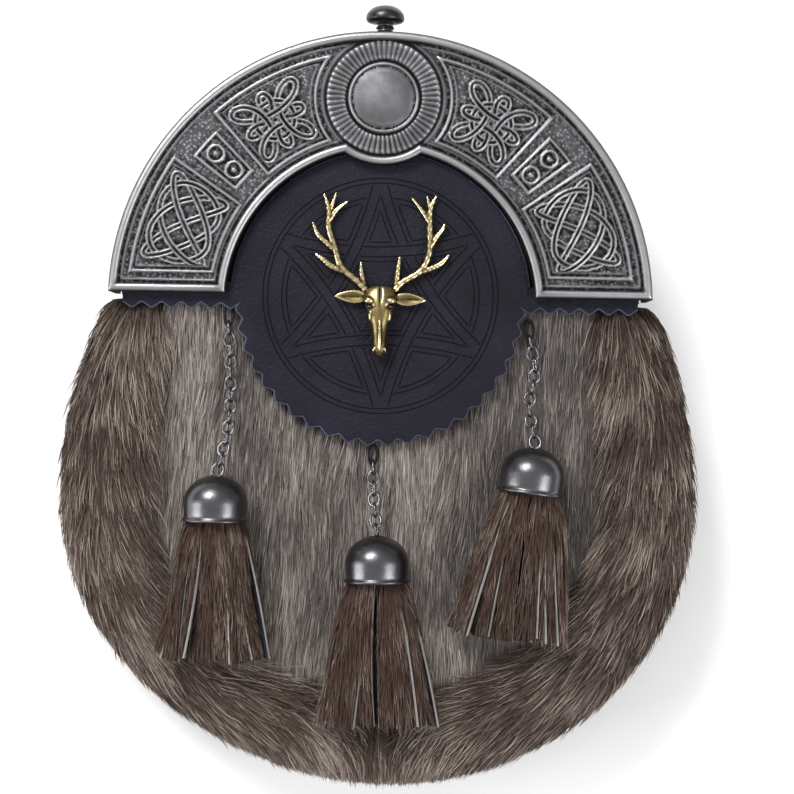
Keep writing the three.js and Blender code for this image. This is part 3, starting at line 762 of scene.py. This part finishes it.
def panel_knots():
    """The strands in the upper and in the lower panel."""
    corners = polar_panel(64, 1.035, 9.2, 9.8)
    upper = woven(upper_knot, 4, 0, 8, corners)
    upper += woven(inner_knot, 4, 1.6, 8, corners)
    upper += woven(ring_of(0.62), 8, 0.8, 8, corners)
    lower = woven(lower_knot, 7, 0.5, 28, polar_panel(64.2, 0.372, 9.3, 11.6))
    return upper, lower


def ring_relief(x, y, height):
    """Adds the two small rings with a dot in each."""
    middle = (RING_PANEL["low"] + RING_PANEL["high"]) / 2
    for radius in RING_PANEL["rows"]:
        centre = (radius * math.cos(middle), CANTLE["centre_y"] + radius * math.sin(middle))
        away = np.hypot(x - centre[0], y - centre[1])
        height = np.maximum(height, np.maximum(ridge(away - 2.5, 0.5, 0.6), ridge(away, 0.9, 0.4)))
    return height


def medal_relief(turn, boss):
    """The boss: a low dome in a ring, and flutes round it."""
    flutes = 0.2 + 0.42 * np.abs(np.cos(MEDAL["flutes"] / 2 * turn)) ** 0.7
    start, end = MEDAL["band_start"], MEDAL["band_end"]
    in_band = smoothstep(start, start + 0.5, boss) * (1 - smoothstep(end - 0.5, end, boss))
    on_disc = boss < MEDAL["disc"]
    disc = 0.9 + 1.3 * (1 - (boss / MEDAL["disc"]) ** 2) * on_disc
    medal = np.where(on_disc, disc, 0.15 + flutes * in_band)
    medal = np.maximum(medal, ridge(boss - 10.2, 0.7, 0.9))
    return np.maximum(medal, ridge(boss - 18.5, 0.35, 0.35))


def cantle_relief(x, y):
    """Height of the cast pattern over the plate's face, and where the ground is stippled."""
    x = np.abs(x)
    rho = np.hypot(x, y - CANTLE["centre_y"])
    phi = np.arctan2(y - CANTLE["centre_y"], x)
    boss = np.hypot(x, y - CANTLE["lobe_y"])
    edge = np.minimum(CANTLE["radius"] - rho, y - CANTLE["leg_y"])
    edge = np.minimum(edge, np.maximum(rho - CANTLE["inner"], CANTLE["lobe_radius"] - boss))
    height = np.maximum(ridge(edge - 1.35, 1.36, 1.15), ridge(edge - 3.7, 0.4, 0.35))
    panels = panel_depths(rho, phi, boss, y)
    for panel in panels:
        height = np.maximum(height, np.maximum(ridge(panel, 0.5, 0.5), ridge(panel - 1.5, 0.3, 0.32)))
    points = np.stack([x, y], axis=-1)
    for panel, strands in zip(panels, panel_knots()):
        inside = panel > 1.8
        height[inside] = np.maximum(height[inside], knot_relief(points[inside], strands))
    height = ring_relief(x, y, height)
    on_boss = (boss < MEDAL["reach"]) & (edge > 2.7)
    medal = medal_relief(np.arctan2(x, y - CANTLE["lobe_y"]), boss)
    height = np.where(on_boss, medal, height)
    ground = (height < 0.1) & ~on_boss
    return height, ground.astype(float)


def blurred(field, reach):
    """The mean of a grid's field over a square of neighbours."""
    total = np.zeros_like(field)
    padded = np.pad(field, reach, mode="edge")
    rows, columns = field.shape
    for i in range(2 * reach + 1):
        for j in range(2 * reach + 1):
            total += padded[i : i + rows, j : j + columns]
    return total / (2 * reach + 1) ** 2


FLANGE = dict(depth=14, thickness=1.6)


def cantle_plan(columns):
    """The plate's inner and outer edge, from the right leg to the left."""
    lift = CANTLE["leg_y"] - CANTLE["centre_y"]
    centre = np.array([0, CANTLE["centre_y"]])

    def headings(radius):
        start = math.asin(lift / radius)
        phi = start + (math.pi - 2 * start) * np.linspace(0, 1, columns)
        return phi, np.stack([np.cos(phi), np.sin(phi)], axis=-1)

    phi, ways = headings(CANTLE["inner"])
    apart = CANTLE["lobe_y"] - CANTLE["centre_y"]
    under = CANTLE["lobe_radius"] ** 2 - (apart * np.cos(phi)) ** 2
    lobe = np.where(under > 0, apart * np.sin(phi) - np.sqrt(np.maximum(under, 0)), math.inf)
    inner = centre + ways * np.minimum(CANTLE["inner"], lobe)[:, None]
    outer = centre + headings(CANTLE["radius"])[1] * CANTLE["radius"]
    inside_flange = centre + (outer - centre) * (1 - FLANGE["thickness"] / CANTLE["radius"])
    return inner, outer, inside_flange


def cantle():
    columns, rows = 620, 104
    inner, outer, inside_flange = cantle_plan(columns)
    s = np.linspace(0, 1, rows)[None, :, None]
    flat = inner[:, None] + (outer - inner)[:, None] * s
    height, ground = cantle_relief(flat[..., 0], flat[..., 1])
    face = xyz(flat[..., 0], flat[..., 1], PLATE_FACE + height)
    flange_back = PLATE_BACK - FLANGE["depth"]
    back_edges = [
        (outer, PLATE_BACK), (outer, flange_back), (inside_flange, flange_back),
        (inside_flange, PLATE_BACK), (inner, PLATE_BACK),
    ]
    back = [xyz(*line.T, level)[:, None] for line, level in back_edges]
    profile = np.concatenate([face, *back], axis=1)
    size = profile.shape[1]
    faces = grid_faces(columns, size, wrap_columns=True)
    relief = height - blurred(height, 4)
    shine = np.clip(0.42 + 1.5 * relief + 0.12 * height, 0.02, 1)
    behind = ((0, 0), (0, len(back)))
    shine = np.pad(shine, behind, constant_values=0.4).ravel()
    values = {"shine": shine, "ground": np.pad(ground, behind).ravel()}
    points = profile.reshape(-1, 3)
    piece = mesh_piece("cast_cantle", points, faces, [SILVER], values=values)
    cap_ends(piece, size, columns)
    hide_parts("cantle")


def cap_ends(piece, size, columns):
    """Closes the ends of a loft whose rings are stored one after another."""
    mesh = bmesh.new()
    mesh.from_mesh(piece.data)
    mesh.verts.ensure_lookup_table()
    mesh.faces.new([mesh.verts[k] for k in range(size)])
    mesh.faces.new([mesh.verts[k] for k in reversed(range((columns - 1) * size, columns * size))])
    bmesh.ops.recalc_face_normals(mesh, faces=mesh.faces)
    mesh.to_mesh(piece.data)
    mesh.free()


cantle()

# -------- apron


def scallop(along):
    """How far a scalloped edge stands out, for a distance along it in pitches."""
    tooth = 1 - np.abs(2 * (along % 1) - 1)
    wave = 0.5 - 0.5 * np.cos(2 * math.pi * along)
    return APRON["depth"] * (0.55 * tooth + 0.45 * wave)


# The leather's rounded edge: how far in from it, and how far down.
EDGE_PROFILE = [(0.9, 0.0), (0.5, 0.05), (0.12, 0.38), (0.0, 0.9), (0.05, 1.5), (0.4, 1.95), (1.2, 2.0)]
APRON_ROOT = APRON["radius"] - APRON["depth"]


def apron_round():
    """The scalloped round, as rings from its middle over its edge to its back."""
    angle = full_turn(720)
    scallops = round(math.pi * APRON_ROOT / APRON["pitch"])
    scalloped = APRON_ROOT + scallop((angle - math.pi) / math.pi * scallops)
    reach = np.where(np.sin(angle) < 0.02, scalloped, APRON["radius"] + 1.5)
    rings = [(reach * share, APRON_FACE) for share in (0.02, 0.5, 0.8, 0.93)]
    rings += [(reach - inset, APRON_FACE - drop) for inset, drop in EDGE_PROFILE]
    rings.append((reach * 0.02, APRON_BACK))
    x, y = np.cos(angle), np.sin(angle)
    return np.stack([xyz(radius * x, APRON["centre_y"] + radius * y, level) for radius, level in rings])


def apron_strip(side):
    """A strip under one of the cantle's legs, scalloped along its lower edge."""
    run = np.linspace(APRON_ROOT - 4, APRON["strip_end"], 150)
    low = APRON["strip_y"] - scallop((run - APRON_ROOT) / APRON["pitch"])
    top = 33.0 - low
    lines = [(top, 0.06), *[(inset, drop + 0.06) for inset, drop in EDGE_PROFILE], (top, 2.0)]
    return np.stack([xyz(side * run, low + inset, APRON_FACE - drop) for inset, drop in lines])


def apron():
    grids = [(apron_round(), False, True)]
    grids += [(apron_strip(side), False, False) for side in (-1, 1)]
    points, faces = joined_grids(grids)
    piece = mesh_piece("scalloped_apron", points, faces, [LEATHER, CUT_EDGE])
    level = points[faces].mean(axis=1)[:, 2]
    on_edge = (level < APRON_FACE - 0.14) & (level > APRON_BACK + 0.06)
    piece.data.polygons.foreach_set("material_index", on_edge.astype(np.int32))
    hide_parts("leather_apron")


# Radii of the circles, the bow of the bands' edges, and how near the centre those edges come.
MEDALLION = dict(
    centre_y=29.5, turn=-0.0175, outer=35.75, ring=34.3, lens=30.0, bow=99.0, near=11.9, far=14.9
)
# How far a cell's second outline lies inside its first.
INSET = 1.45


def arc_points(radius, start, stop):
    t = np.linspace(start, stop, max(6, int((stop - start) * radius / 0.9)))
    return np.stack([radius * np.cos(t), radius * np.sin(t)], axis=-1)


def band_axes(side):
    """The heading of a band's middle from the centre, and the ways out and along it."""
    normal = math.radians(30 + 60 * side)
    out = np.array([math.cos(normal), math.sin(normal)])
    along = np.array([-math.sin(normal), math.cos(normal)])
    return normal, out, along


def bowed_line(side, distance, half_run):
    """One edge of a bowed band: nearest to the centre at `distance`, along a hexagram's side."""
    _, out, along = band_axes(side)
    t = np.linspace(-half_run, half_run, max(12, int(half_run * 3)))[:, None]
    return (distance + t**2 / (2 * MEDALLION["bow"])) * out + t * along


def hidden_under(points, side):
    """Where the next band passes over this one's edges."""
    _, out, along = band_axes((side + 1) % 6)
    across = points @ out
    run = points @ along
    middle = (MEDALLION["near"] + MEDALLION["far"]) / 2 + run**2 / (2 * MEDALLION["bow"])
    return (np.abs(across - middle) < (MEDALLION["far"] - MEDALLION["near"]) / 2) & (across > 0)


def tooled_lines():
    """The lines pressed into the apron: circles, a hexagram of bowed bands and its cells."""
    near, far = MEDALLION["near"], MEDALLION["far"]
    lines = [arc_points(r, 0, 2 * math.pi) for r in (MEDALLION["outer"], MEDALLION["ring"])]
    for side in range(6):
        normal, _, along = band_axes(side)
        for distance in (near, far):
            line = bowed_line(side, distance, 34)
            keep = (np.hypot(*line.T) < MEDALLION["ring"]) & (heading_from(line, normal) < math.radians(60))
            lines += split_runs(line, keep & ~hidden_under(line, side))
        # The second outline of each cell: the hexagon, the tip's base and sides, and the lens.
        lines += [bowed_line(side, near - INSET, 6.2), bowed_line(side, far + INSET, 3.4)]
        tip = bowed_line(side, near - INSET, 22.5)
        lines += split_runs(tip, np.abs(tip @ along) > 12.4)
        lens = bowed_line(side, far + INSET, 26)
        within = np.hypot(*lens.T) < MEDALLION["lens"] - INSET
        lines += split_runs(lens, within & (heading_from(lens, normal) > math.radians(30)))
        middle = math.radians(60 * side)
        for radius, half in ((MEDALLION["lens"], 0.434), (MEDALLION["lens"] - INSET, 0.335)):
            lines.append(arc_points(radius, middle - half, middle + half))
    return [line for line in lines if len(line) > 3]


def heading_from(points, angle):
    """How far points turn away from a heading about the centre, in radians."""
    away = np.arctan2(points[:, 1], points[:, 0]) - angle
    return np.abs((away + math.pi) % (2 * math.pi) - math.pi)


def turned(points, angle):
    """Places on the plane, turned anticlockwise about the origin."""
    spin = np.array([[math.cos(angle), -math.sin(angle)], [math.sin(angle), math.cos(angle)]])
    return points @ spin.T


def split_runs(line, keep):
    """The stretches of a line that are kept."""
    cuts = np.flatnonzero(np.diff(keep.astype(int))) + 1
    return [run for run, kept in zip(np.split(line, cuts), np.split(keep, cuts)) if kept.all()]


# A pressed line's section: across it, and up from the leather.
GROOVE = [(-0.6, 0.0), (-0.36, 0.09), (-0.22, 0.03), (0.22, 0.03), (0.36, 0.09), (0.6, 0.0)]


def tooling():
    """Each pressed line is a channel between two low lips, coloured near-black: painted shade in the groove.
    """
    grids, channel = [], []
    for line in tooled_lines():
        line = turned(line, -MEDALLION["turn"])
        ahead = unit(np.gradient(line, axis=0))
        side = np.stack([-ahead[:, 1], ahead[:, 0]], axis=-1)
        line = line + (0, MEDALLION["centre_y"])
        grid = np.stack([xyz(*(line + side * w).T, APRON_FACE + h) for w, h in GROOVE], axis=1)
        grids.append((grid, False, False))
        channel.append(np.tile([0, 0, 1, 0, 0], len(line) - 1))
    points, faces = joined_grids(grids)
    piece = mesh_piece("apron_tooling", points, faces, [LEATHER, TOOLED_GROOVE_SHADE])
    piece.data.polygons.foreach_set("material_index", np.concatenate(channel).astype(np.int32))


apron()
tooling()

# -------- shining edges


def neighbour_means(ends, values):
    """For each point, the mean of the values at the other ends of its edges."""
    total = np.zeros_like(values)
    links = np.zeros(len(values))
    for p, q in (ends, ends[::-1]):
        np.add.at(total, p, values[q])
        np.add.at(links, p, 1)
    return (total.T / np.maximum(links, 1)).T


def set_shine(piece, gain, base):
    """Writes `shine` from how far each point stands out from its neighbours."""
    mesh = piece.data
    place = read_vectors(mesh)
    ends = np.empty(len(mesh.edges) * 2, dtype=np.int32)
    mesh.edges.foreach_get("vertices", ends)
    ends = ends.reshape(-1, 2).T
    out = np.sum((place - neighbour_means(ends, place)) * read_vectors(mesh, "normal"), axis=1)
    for _ in range(3):
        out = 0.5 * out + 0.5 * neighbour_means(ends, out)
    scale = np.percentile(np.abs(out), 90) + 1e-12
    write_numbers(mesh, "shine", np.clip(base + gain * out / scale, 0.02, 1))


# -------- stag-head badge

BADGE_Y = 31
BADGE_BACK = 36.9
# The antlers' tines: rows of (x, y, radius).
LEFT_ANTLER = [
    [(-3.6, -0.6, 1.15), (-6.5, 2.3, 1.1), (-11.9, 7, 1.1), (-14, 12.8, 1.0), (-16, 19.1, 0.95),
     (-16, 24.4, 0.85), (-17.6, 29.2, 0.3)],
    [(-15.8, 23.6, 0.7), (-15, 26, 0.6), (-13.9, 29.6, 0.3)],
    [(-15.9, 20.8, 0.8), (-13.7, 24.3, 0.75), (-10.3, 27.1, 0.3)],
    [(-13.7, 12, 0.9), (-16.9, 14.5, 0.85), (-19.4, 17, 0.7), (-20.9, 20.6, 0.3)],
    [(-10, 5.4, 1), (-14.7, 7, 0.95), (-17.6, 9.3, 0.8), (-20, 11, 0.3)],
    [(-4.8, 0.8, 0.8), (-5.8, 5.4, 0.75), (-6.1, 8.8, 0.35)],
]
RIGHT_ANTLER = [
    [(3.6, -0.6, 1.15), (6.8, 2.8, 1.1), (12.2, 6.3, 1.1), (14.7, 12, 1.0), (14.7, 19.1, 0.95),
     (14.8, 25, 0.85), (16.6, 29.2, 0.3)],
    [(14.8, 23.8, 0.7), (14.4, 26.3, 0.6), (13.6, 29, 0.3)],
    [(14.7, 20.8, 0.8), (12.4, 24.2, 0.7), (9.2, 28.3, 0.3)],
    [(14.9, 13.4, 0.9), (16.8, 16.6, 0.8), (18.7, 19.2, 0.65), (19.1, 20.8, 0.3)],
    [(11.8, 5.8, 1), (15.7, 7.2, 1), (18.6, 8.8, 0.85), (20.7, 11.4, 0.35)],
    [(4.8, 0.8, 0.9), (5.2, 6, 0.85), (5.7, 10.6, 0.4)],
]
# The face's sections: (y, half width, half depth, z above the back).
FACE = [
    (1.6, 1.6, 0.8, 2.4), (1.0, 3.1, 1.5, 2.6), (-0.6, 4.5, 2.1, 2.8), (-2.6, 5.0, 2.5, 3.0),
    (-4.6, 4.5, 2.6, 3.2), (-7.2, 3.5, 2.5, 3.5), (-10.2, 2.7, 2.4, 3.7), (-13.4, 2.15, 2.3, 3.8),
    (-16, 2.1, 2.25, 3.8), (-17.8, 2.45, 2.2, 3.7), (-19.2, 2.1, 1.7, 3.4), (-20.1, 1.0, 0.8, 3.2),
]


def both_sides(x, *rest):
    return [(-x, *rest), (x, *rest)]


# Lumps on it: (x, y, z above the back, half sizes in x, y and z).
HEAD = [
    *both_sides(3.3, -3.2, 4.1, 1.5, 1.2, 1.3),
    *both_sides(2.7, -7.4, 3.7, 1.0, 2.3, 1.3),
    (0, -13.5, 4.9, 0.8, 5.4, 1.5),
    *both_sides(1.3, -18, 4.6, 0.9, 1.1, 1.0),
]
HOLLOWS = [
    *both_sides(3.15, -5.0, 4.35, 1.15, 0.75, 0.9),
    *both_sides(1.35, -18.6, 4.9, 0.42, 0.7, 0.8),
    (0, -1.2, 4.6, 0.5, 3.0, 0.7),
]
EYES = both_sides(3.15, -5.0, 4.5, 0.75, 0.5, 0.55)


def blob(x, y, z, wide, tall, deep):
    turn = full_turn(20)
    rise = np.linspace(-math.pi / 2 + 0.02, math.pi / 2 - 0.02, 12)[:, None]
    return xyz(
        x + wide * np.cos(rise) * np.cos(turn),
        BADGE_Y + y + tall * np.cos(rise) * np.sin(turn),
        BADGE_BACK + z + deep * np.sin(rise),
    )


def ear(side, root_y, droop):
    """A leaf that points outward, hollow along its middle."""
    along = np.linspace(0, 1, 14)[:, None]
    half = 2.0 * np.sin(math.pi * along**0.75) ** 0.8 + 0.12
    turn = full_turn(16)
    out = 3.8 + 10.2 * along
    y = BADGE_Y + root_y + droop * out + half * np.sin(turn)
    cup = -0.8 * np.clip(np.sin(math.pi * along), 0, 1) * np.exp(-((np.sin(turn) / 0.55) ** 2))
    cup = np.where(np.cos(turn) > 0, cup, 0)
    z = BADGE_BACK + 1.9 + 0.75 * np.cos(turn) * np.minimum(half, 1) + cup
    return xyz(side * out, y, z)


def fused(piece, voxel_mm, smooth_rounds):
    """Melts a piece's overlapping parts into one skin."""
    remesh = piece.modifiers.new("fuse", "REMESH")
    remesh.mode = "VOXEL"
    remesh.voxel_size = voxel_mm * MM
    smooth = piece.modifiers.new("smooth", "SMOOTH")
    smooth.factor = 0.5
    smooth.iterations = smooth_rounds
    bpy.context.view_layer.update()
    seen = piece.evaluated_get(bpy.context.evaluated_depsgraph_get())
    mesh = bpy.data.meshes.new_from_object(seen)
    piece.modifiers.clear()
    materials = list(piece.data.materials)
    piece.data = mesh
    mesh.materials.clear()
    for material in materials:
        mesh.materials.append(material)
    mesh.shade_smooth()


def antler_branch(rows):
    """A tine from rows of (x, y, radius), a little knobbly along its length."""
    rows = smooth_curve(rows, 8 * len(rows))
    knobbly = 1 + 0.06 * np.sin(np.arange(len(rows)) * 1.9)
    route = xyz(rows[:, 0], rows[:, 1] + BADGE_Y, BADGE_BACK + 1.3)
    return tube_grid(route, np.maximum(rows[:, 2] * knobbly, 0.22), 12)


def face():
    y, wide, deep, level = smooth_curve(FACE, 60).T[..., None]
    turn = full_turn(28)
    return xyz(wide * np.cos(turn), y + BADGE_Y, BADGE_BACK - 0.4 + level + deep * np.sin(turn))


def stag_head():
    parts = [antler_branch(rows) for rows in LEFT_ANTLER + RIGHT_ANTLER]
    parts.append(face())
    parts += [blob(*row) for row in HEAD]
    parts += [ear(-1, -2.1, 0.02), ear(1, -2.3, -0.03)]
    points, faces = joined_grids([(part, False, True) for part in parts])
    piece = mesh_piece("brass_stag_head", points, faces, [BRASS])
    close_tubes(piece)
    fused(piece, 0.24, 3)
    carve(piece)
    set_shine(piece, 0.62, 0.40)
    eyes, eye_faces = joined_grids([(blob(*row), False, True) for row in EYES])
    values = {"shine": np.full(len(eyes), 0.2)}
    mesh_piece("stag_eyes", eyes, eye_faces, [GUNMETAL], values=values)
    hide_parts("stag_head")


def close_tubes(piece):
    """Fills the open ends of the badge's parts."""
    mesh = bmesh.new()
    mesh.from_mesh(piece.data)
    bmesh.ops.holes_fill(mesh, edges=[edge for edge in mesh.edges if edge.is_boundary])
    bmesh.ops.recalc_face_normals(mesh, faces=mesh.faces)
    mesh.to_mesh(piece.data)
    mesh.free()


def carve(piece):
    """Presses the eye sockets, the nostrils and the brow's groove into the badge."""
    mesh = piece.data
    points = drawn(read_vectors(mesh))
    for x, y, z, wide, tall, deep in HOLLOWS:
        away = ((points[:, 0] - x) / wide) ** 2 + ((points[:, 1] - BADGE_Y - y) / tall) ** 2
        points[:, 2] -= 0.75 * deep * np.exp(-away) * (points[:, 2] > BADGE_BACK + z - 2.2)
    mesh.vertices.foreach_set("co", placed(points).ravel())
    mesh.update()


stag_head()

# -------- turned metal

# The knob's profile: radius, and height over the crown.
KNOB = [
    (0.05, 0.0), (3.5, 0.0), (3.7, 0.3), (3.5, 0.8), (2.7, 1.1), (2.4, 1.5), (2.6, 1.9), (2.9, 2.2),
    (2.7, 2.5), (2.35, 2.9), (2.5, 3.3), (3.0, 3.6), (4.4, 3.8), (5.3, 4.1), (5.8, 4.6), (5.9, 5.3),
    (5.75, 6.2), (5.4, 6.9), (4.8, 7.6), (4.1, 8.2), (3.0, 8.75), (1.8, 9.05), (0.05, 9.2),
]


def top_knob():
    grid = lathe_grid(smooth_curve(KNOB, 90), 64)
    grid[..., 1] += CANTLE["centre_y"] + CANTLE["radius"] + 0.3
    grid[..., 2] += PLATE_BACK - 6.4
    points, faces = joined_grids([(grid, False, True)])
    piece = mesh_piece("turned_knob", points, faces, [GUNMETAL])
    set_shine(piece, 0.3, 0.42)
    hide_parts("top_knob")


BELL = dict(radius=9.65, height=14, dome=8.4, crown_hole=2.2)
# The crown's place, the lean, and the size of the skirt below the mouth.
TASSELS = {
    "left": dict(crown=(-48.3, -25.6, 42.6), lean=-0.01, length=41, half_width=18.5),
    "middle": dict(crown=(0.3, -43, 42.8), lean=0.02, length=43, half_width=20),
    "right": dict(crown=(47.7, -15.6, 42.6), lean=-0.12, length=44, half_width=20),
}


def bell_profile():
    shoulder = BELL["height"] - BELL["dome"]
    radius = BELL["radius"]
    dome = [
        (radius * math.cos(a), shoulder + BELL["dome"] * math.sin(a))
        for a in np.linspace(0, math.acos(BELL["crown_hole"] / radius), 18)
    ]
    lip = [(0.05, 0), (0.3, 0.12), (0.38, 0.5), (0.3, 0.9), (0.02, 1.1), (-0.12, 1.5), (-0.06, 2.2), (0, 3.4)]
    lip = [(radius + out, height) for out, height in lip]
    inner = [(r * 0.9, h - 0.6) for r, h in reversed(dome)] + [(radius - 1, 0.4), (radius - 0.9, 0.05)]
    return [*lip, *dome, *inner]


def hung(tassel, grid):
    """Moves a shape from its own place, mouth at the origin, to the tassel."""
    lean = tassel["lean"]
    x, y, z = tassel["crown"]
    mouth = (x + BELL["height"] * math.sin(lean), y - BELL["height"] * math.cos(lean), z)
    spin = np.array([[math.cos(lean), -math.sin(lean), 0], [math.sin(lean), math.cos(lean), 0], [0, 0, 1]])
    return grid @ spin.T + mouth


def bell(side, tassel):
    grid = hung(tassel, lathe_grid(bell_profile(), 72))
    points, faces = joined_grids([(grid, True, True)])
    piece = mesh_piece(f"bell_{side}", points, faces, [GUNMETAL])
    set_shine(piece, 0.22, 0.45)
    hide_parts(f"tassel_bell_{side}")


# -------- chains


def ring_axes(node):
    """A flat ring in the frame: its middle, its long, short and normal axes, and half its size."""
    points = drawn(read_vectors(bpy.data.objects[node].data))
    middle = points.mean(axis=0)
    _, _, axes = np.linalg.svd(points - middle, full_matrices=False)
    spread = np.abs((points - middle) @ axes.T).max(axis=0)
    return middle, axes, spread


def oval(node, wire):
    """A smooth ring of wire where a faceted one is."""
    middle, axes, spread = ring_axes(node)
    turn = full_turn(28)[:, None]
    long, short = axes[:2] * (spread[:2, None] - wire)
    route = middle + np.cos(turn) * long + np.sin(turn) * short
    return tube_grid(route, wire, 8, closed=True), True, True


def chains():
    for side in TASSELS:
        nodes = sorted(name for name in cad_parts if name.startswith(f"chain_{side}_link"))
        points, faces = joined_grids([oval(node, 0.42) for node in nodes])
        piece = mesh_piece(f"chain_{side}", points, faces, [GUNMETAL])
        set_shine(piece, 0.25, 0.66)
        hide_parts(*nodes)
        loop = f"thread_loop_{side}"
        points, faces = joined_grids([oval(loop, 0.45)])
        thread = mesh_piece(f"thread_{side}", points, faces, [THREAD])
        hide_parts(loop)


# -------- tassel skirts


OUTER_STRIPS = 16
INNER_STRIPS = 8
STRIP_ROWS = 15
# Across a strip, from edge to edge: the share of its half width, and the height.
STRIP_SECTION = [(-1, -0.5), (-0.5, 0), (0, 0.15), (0.5, 0), (1, -0.5)]
STRIP_THICKNESS = 0.75


def strip_frame(draw, k, count, tassel, spread=1.0):
    """Where one hide strip of a skirt runs: its middle line, the way across it, and half its width."""
    around = 2 * math.pi * (k + 0.5) / count + draw.normal(0, 0.07)
    t = np.linspace(0, 1, STRIP_ROWS)
    flare = t**0.8
    wide = 7.0 + (tassel["half_width"] - 3.2 - 7.0) * flare
    deep = 6.6 - 0.9 * flare
    droop = 0.3 - 2.2 * t
    length = tassel["length"] * (1 + draw.normal(0, 0.012))
    bow = draw.normal(0, 0.7) * np.sin(math.pi * t)
    x = spread * wide * math.cos(around) + bow
    z = spread * deep * math.sin(around) + droop + 0.5 * np.sin(math.pi * t)
    middle = xyz(x, 3.0 - (length + 3.0) * t, z)
    twist = around + draw.normal(0, 0.28) * t + draw.normal(0, 0.12)
    across = unit(xyz(-np.sin(twist), 0.0, np.cos(twist) * 0.9))
    return middle, across, (1.5 + 2.3 * flare)[:, None]


def strip_hairs(draw, hairs, middle, across, half, ahead, out):
    """Roots, headings, lifts and tones of the hairs on one strip."""
    place = draw.uniform(0.0, 0.88, hairs) * (STRIP_ROWS - 1)
    low = np.minimum(place.astype(int), STRIP_ROWS - 2)
    part = (place - low)[:, None]
    at = middle[low] * (1 - part) + middle[low + 1] * part
    w = draw.uniform(-0.93, 0.93, hairs)[:, None]
    at = at + across[low] * half[low] * w + out[low] * (0.12 - 0.45 * w**2)
    heading = unit(ahead[low] + across[low] * (0.10 * w + draw.normal(0, 0.10, (hairs, 1))))
    lift = out[low] * draw.uniform(0.12, 0.34, (hairs, 1))
    strip_tone = draw.uniform(-0.22, 0.22)
    patch = 0.16 * np.sin(place * 0.9 + draw.uniform(0, 6))
    return at, heading, lift, np.clip(strip_tone + patch + draw.normal(0, 0.2, hairs), 0, 1)


def skirt(side, tassel, seed):
    """Fur-faced hide strips in a ring: fur outside, a dark reverse and pale cut edges."""
    draw = np.random.default_rng(seed)
    grids, hairs = [], []
    for k in range(OUTER_STRIPS + INNER_STRIPS):
        inside = k >= OUTER_STRIPS
        ring = (INNER_STRIPS, tassel, 0.5) if inside else (OUTER_STRIPS, tassel)
        middle, across, half = strip_frame(draw, k, *ring)
        ahead = unit(np.gradient(middle, axis=0))
        out = np.cross(ahead, across)
        out *= np.sign(np.sum(out * (middle * (1, 0, 1)), axis=1).mean())
        front = [middle + across * half * w + out * h for w, h in STRIP_SECTION]
        reverse = [
            middle + across * half * w + out * (h - STRIP_THICKNESS) for w, h in reversed(STRIP_SECTION)
        ]
        grids.append((hung(tassel, np.stack([*front, *reverse], axis=1)), False, True))
        facing_up = out[STRIP_ROWS // 2, 2] > -0.3
        count = 0 if inside else 420 if facing_up else 90
        hairs.append(strip_hairs(draw, count, middle, across, half, ahead, out))
    points, faces = joined_grids(grids)
    # The strips' fur side has the hide material, near-black partly as painted shade between the hairs.
    strips = mesh_piece(f"skirt_strips_{side}", points, faces, [HIDE_AND_GAP_SHADE, REVERSE, PALE_EDGE])
    kinds = np.tile([0, 0, 0, 0, 2, 1, 1, 1, 1, 2], len(faces) // 10)
    strips.data.polygons.foreach_set("material_index", kinds.astype(np.int32))
    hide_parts(f"tassel_skirt_{side}")
    roots, heading, lift, tone = (np.concatenate(column) for column in zip(*hairs))
    # Headings only turn with the tassel, so its place is taken away again.
    still = dict(tassel, crown=(0, 0, 0))
    origin = hung(still, np.zeros(3))
    heading, lift = (hung(still, ways) - origin for ways in (heading, lift))
    length = draw.uniform(5.5, 9, len(roots))
    width = draw.uniform(0.22, 0.38, len(roots))
    hairs = (hung(tassel, roots), heading, lift, length, width, tone)
    hair_ribbons(f"skirt_fur_{side}", hairs, seed + 1, TASSEL_COAT, segments=2)


REVERSE = leather_finish("strip_reverse", (0.010, 0.010, 0.016), (0.028, 0.028, 0.042), 0.6)
PALE_EDGE = leather_finish("pale_cut_edge", (0.14, 0.13, 0.125), (0.34, 0.32, 0.31), 0.8)

top_knob()
chains()
for order, (side, tassel) in enumerate(TASSELS.items()):
    bell(side, tassel)
    skirt(side, tassel, 201 + 10 * order)

# -------- pieces that keep their frame shape


def dress(node, finish):
    """Gives a frame piece its material."""
    mesh_object = bpy.data.objects[node]
    for slot in mesh_object.material_slots or [None]:
        if slot is None:
            mesh_object.data.materials.append(finish)
        else:
            slot.material = finish


for plain in ("top_gusset", "back_panel", "back_flap", "ring_tab_left", "ring_tab_right"):
    dress(plain, BACK_LEATHER)
dress("flap_snap", GUNMETAL)


def belt_ring(side):
    """A smooth D of wire in the place of the faceted one."""
    name = "right" if side > 0 else "left"
    low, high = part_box(f"d_ring_{name}")
    bow = [(9 * math.cos(a), 12 * math.sin(a)) for a in np.linspace(0, math.pi, 15)]
    flat = smooth_curve([*bow, (-4.5, 0), (0, 0), (4.5, 0)], 90, closed=True)
    flat = turned(flat, -0.35 * side) + (60 * side, 36)
    route = xyz(*flat.T, (low[2] + high[2]) / 2 / MM)
    points, faces = joined_grids([(tube_grid(route, 1.0, 14, closed=True), True, True)])
    piece = mesh_piece(f"belt_ring_{name}", points, faces, [GUNMETAL])
    set_shine(piece, 0.2, 0.5)
    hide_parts(f"d_ring_{name}")


belt_ring(-1)
belt_ring(1)
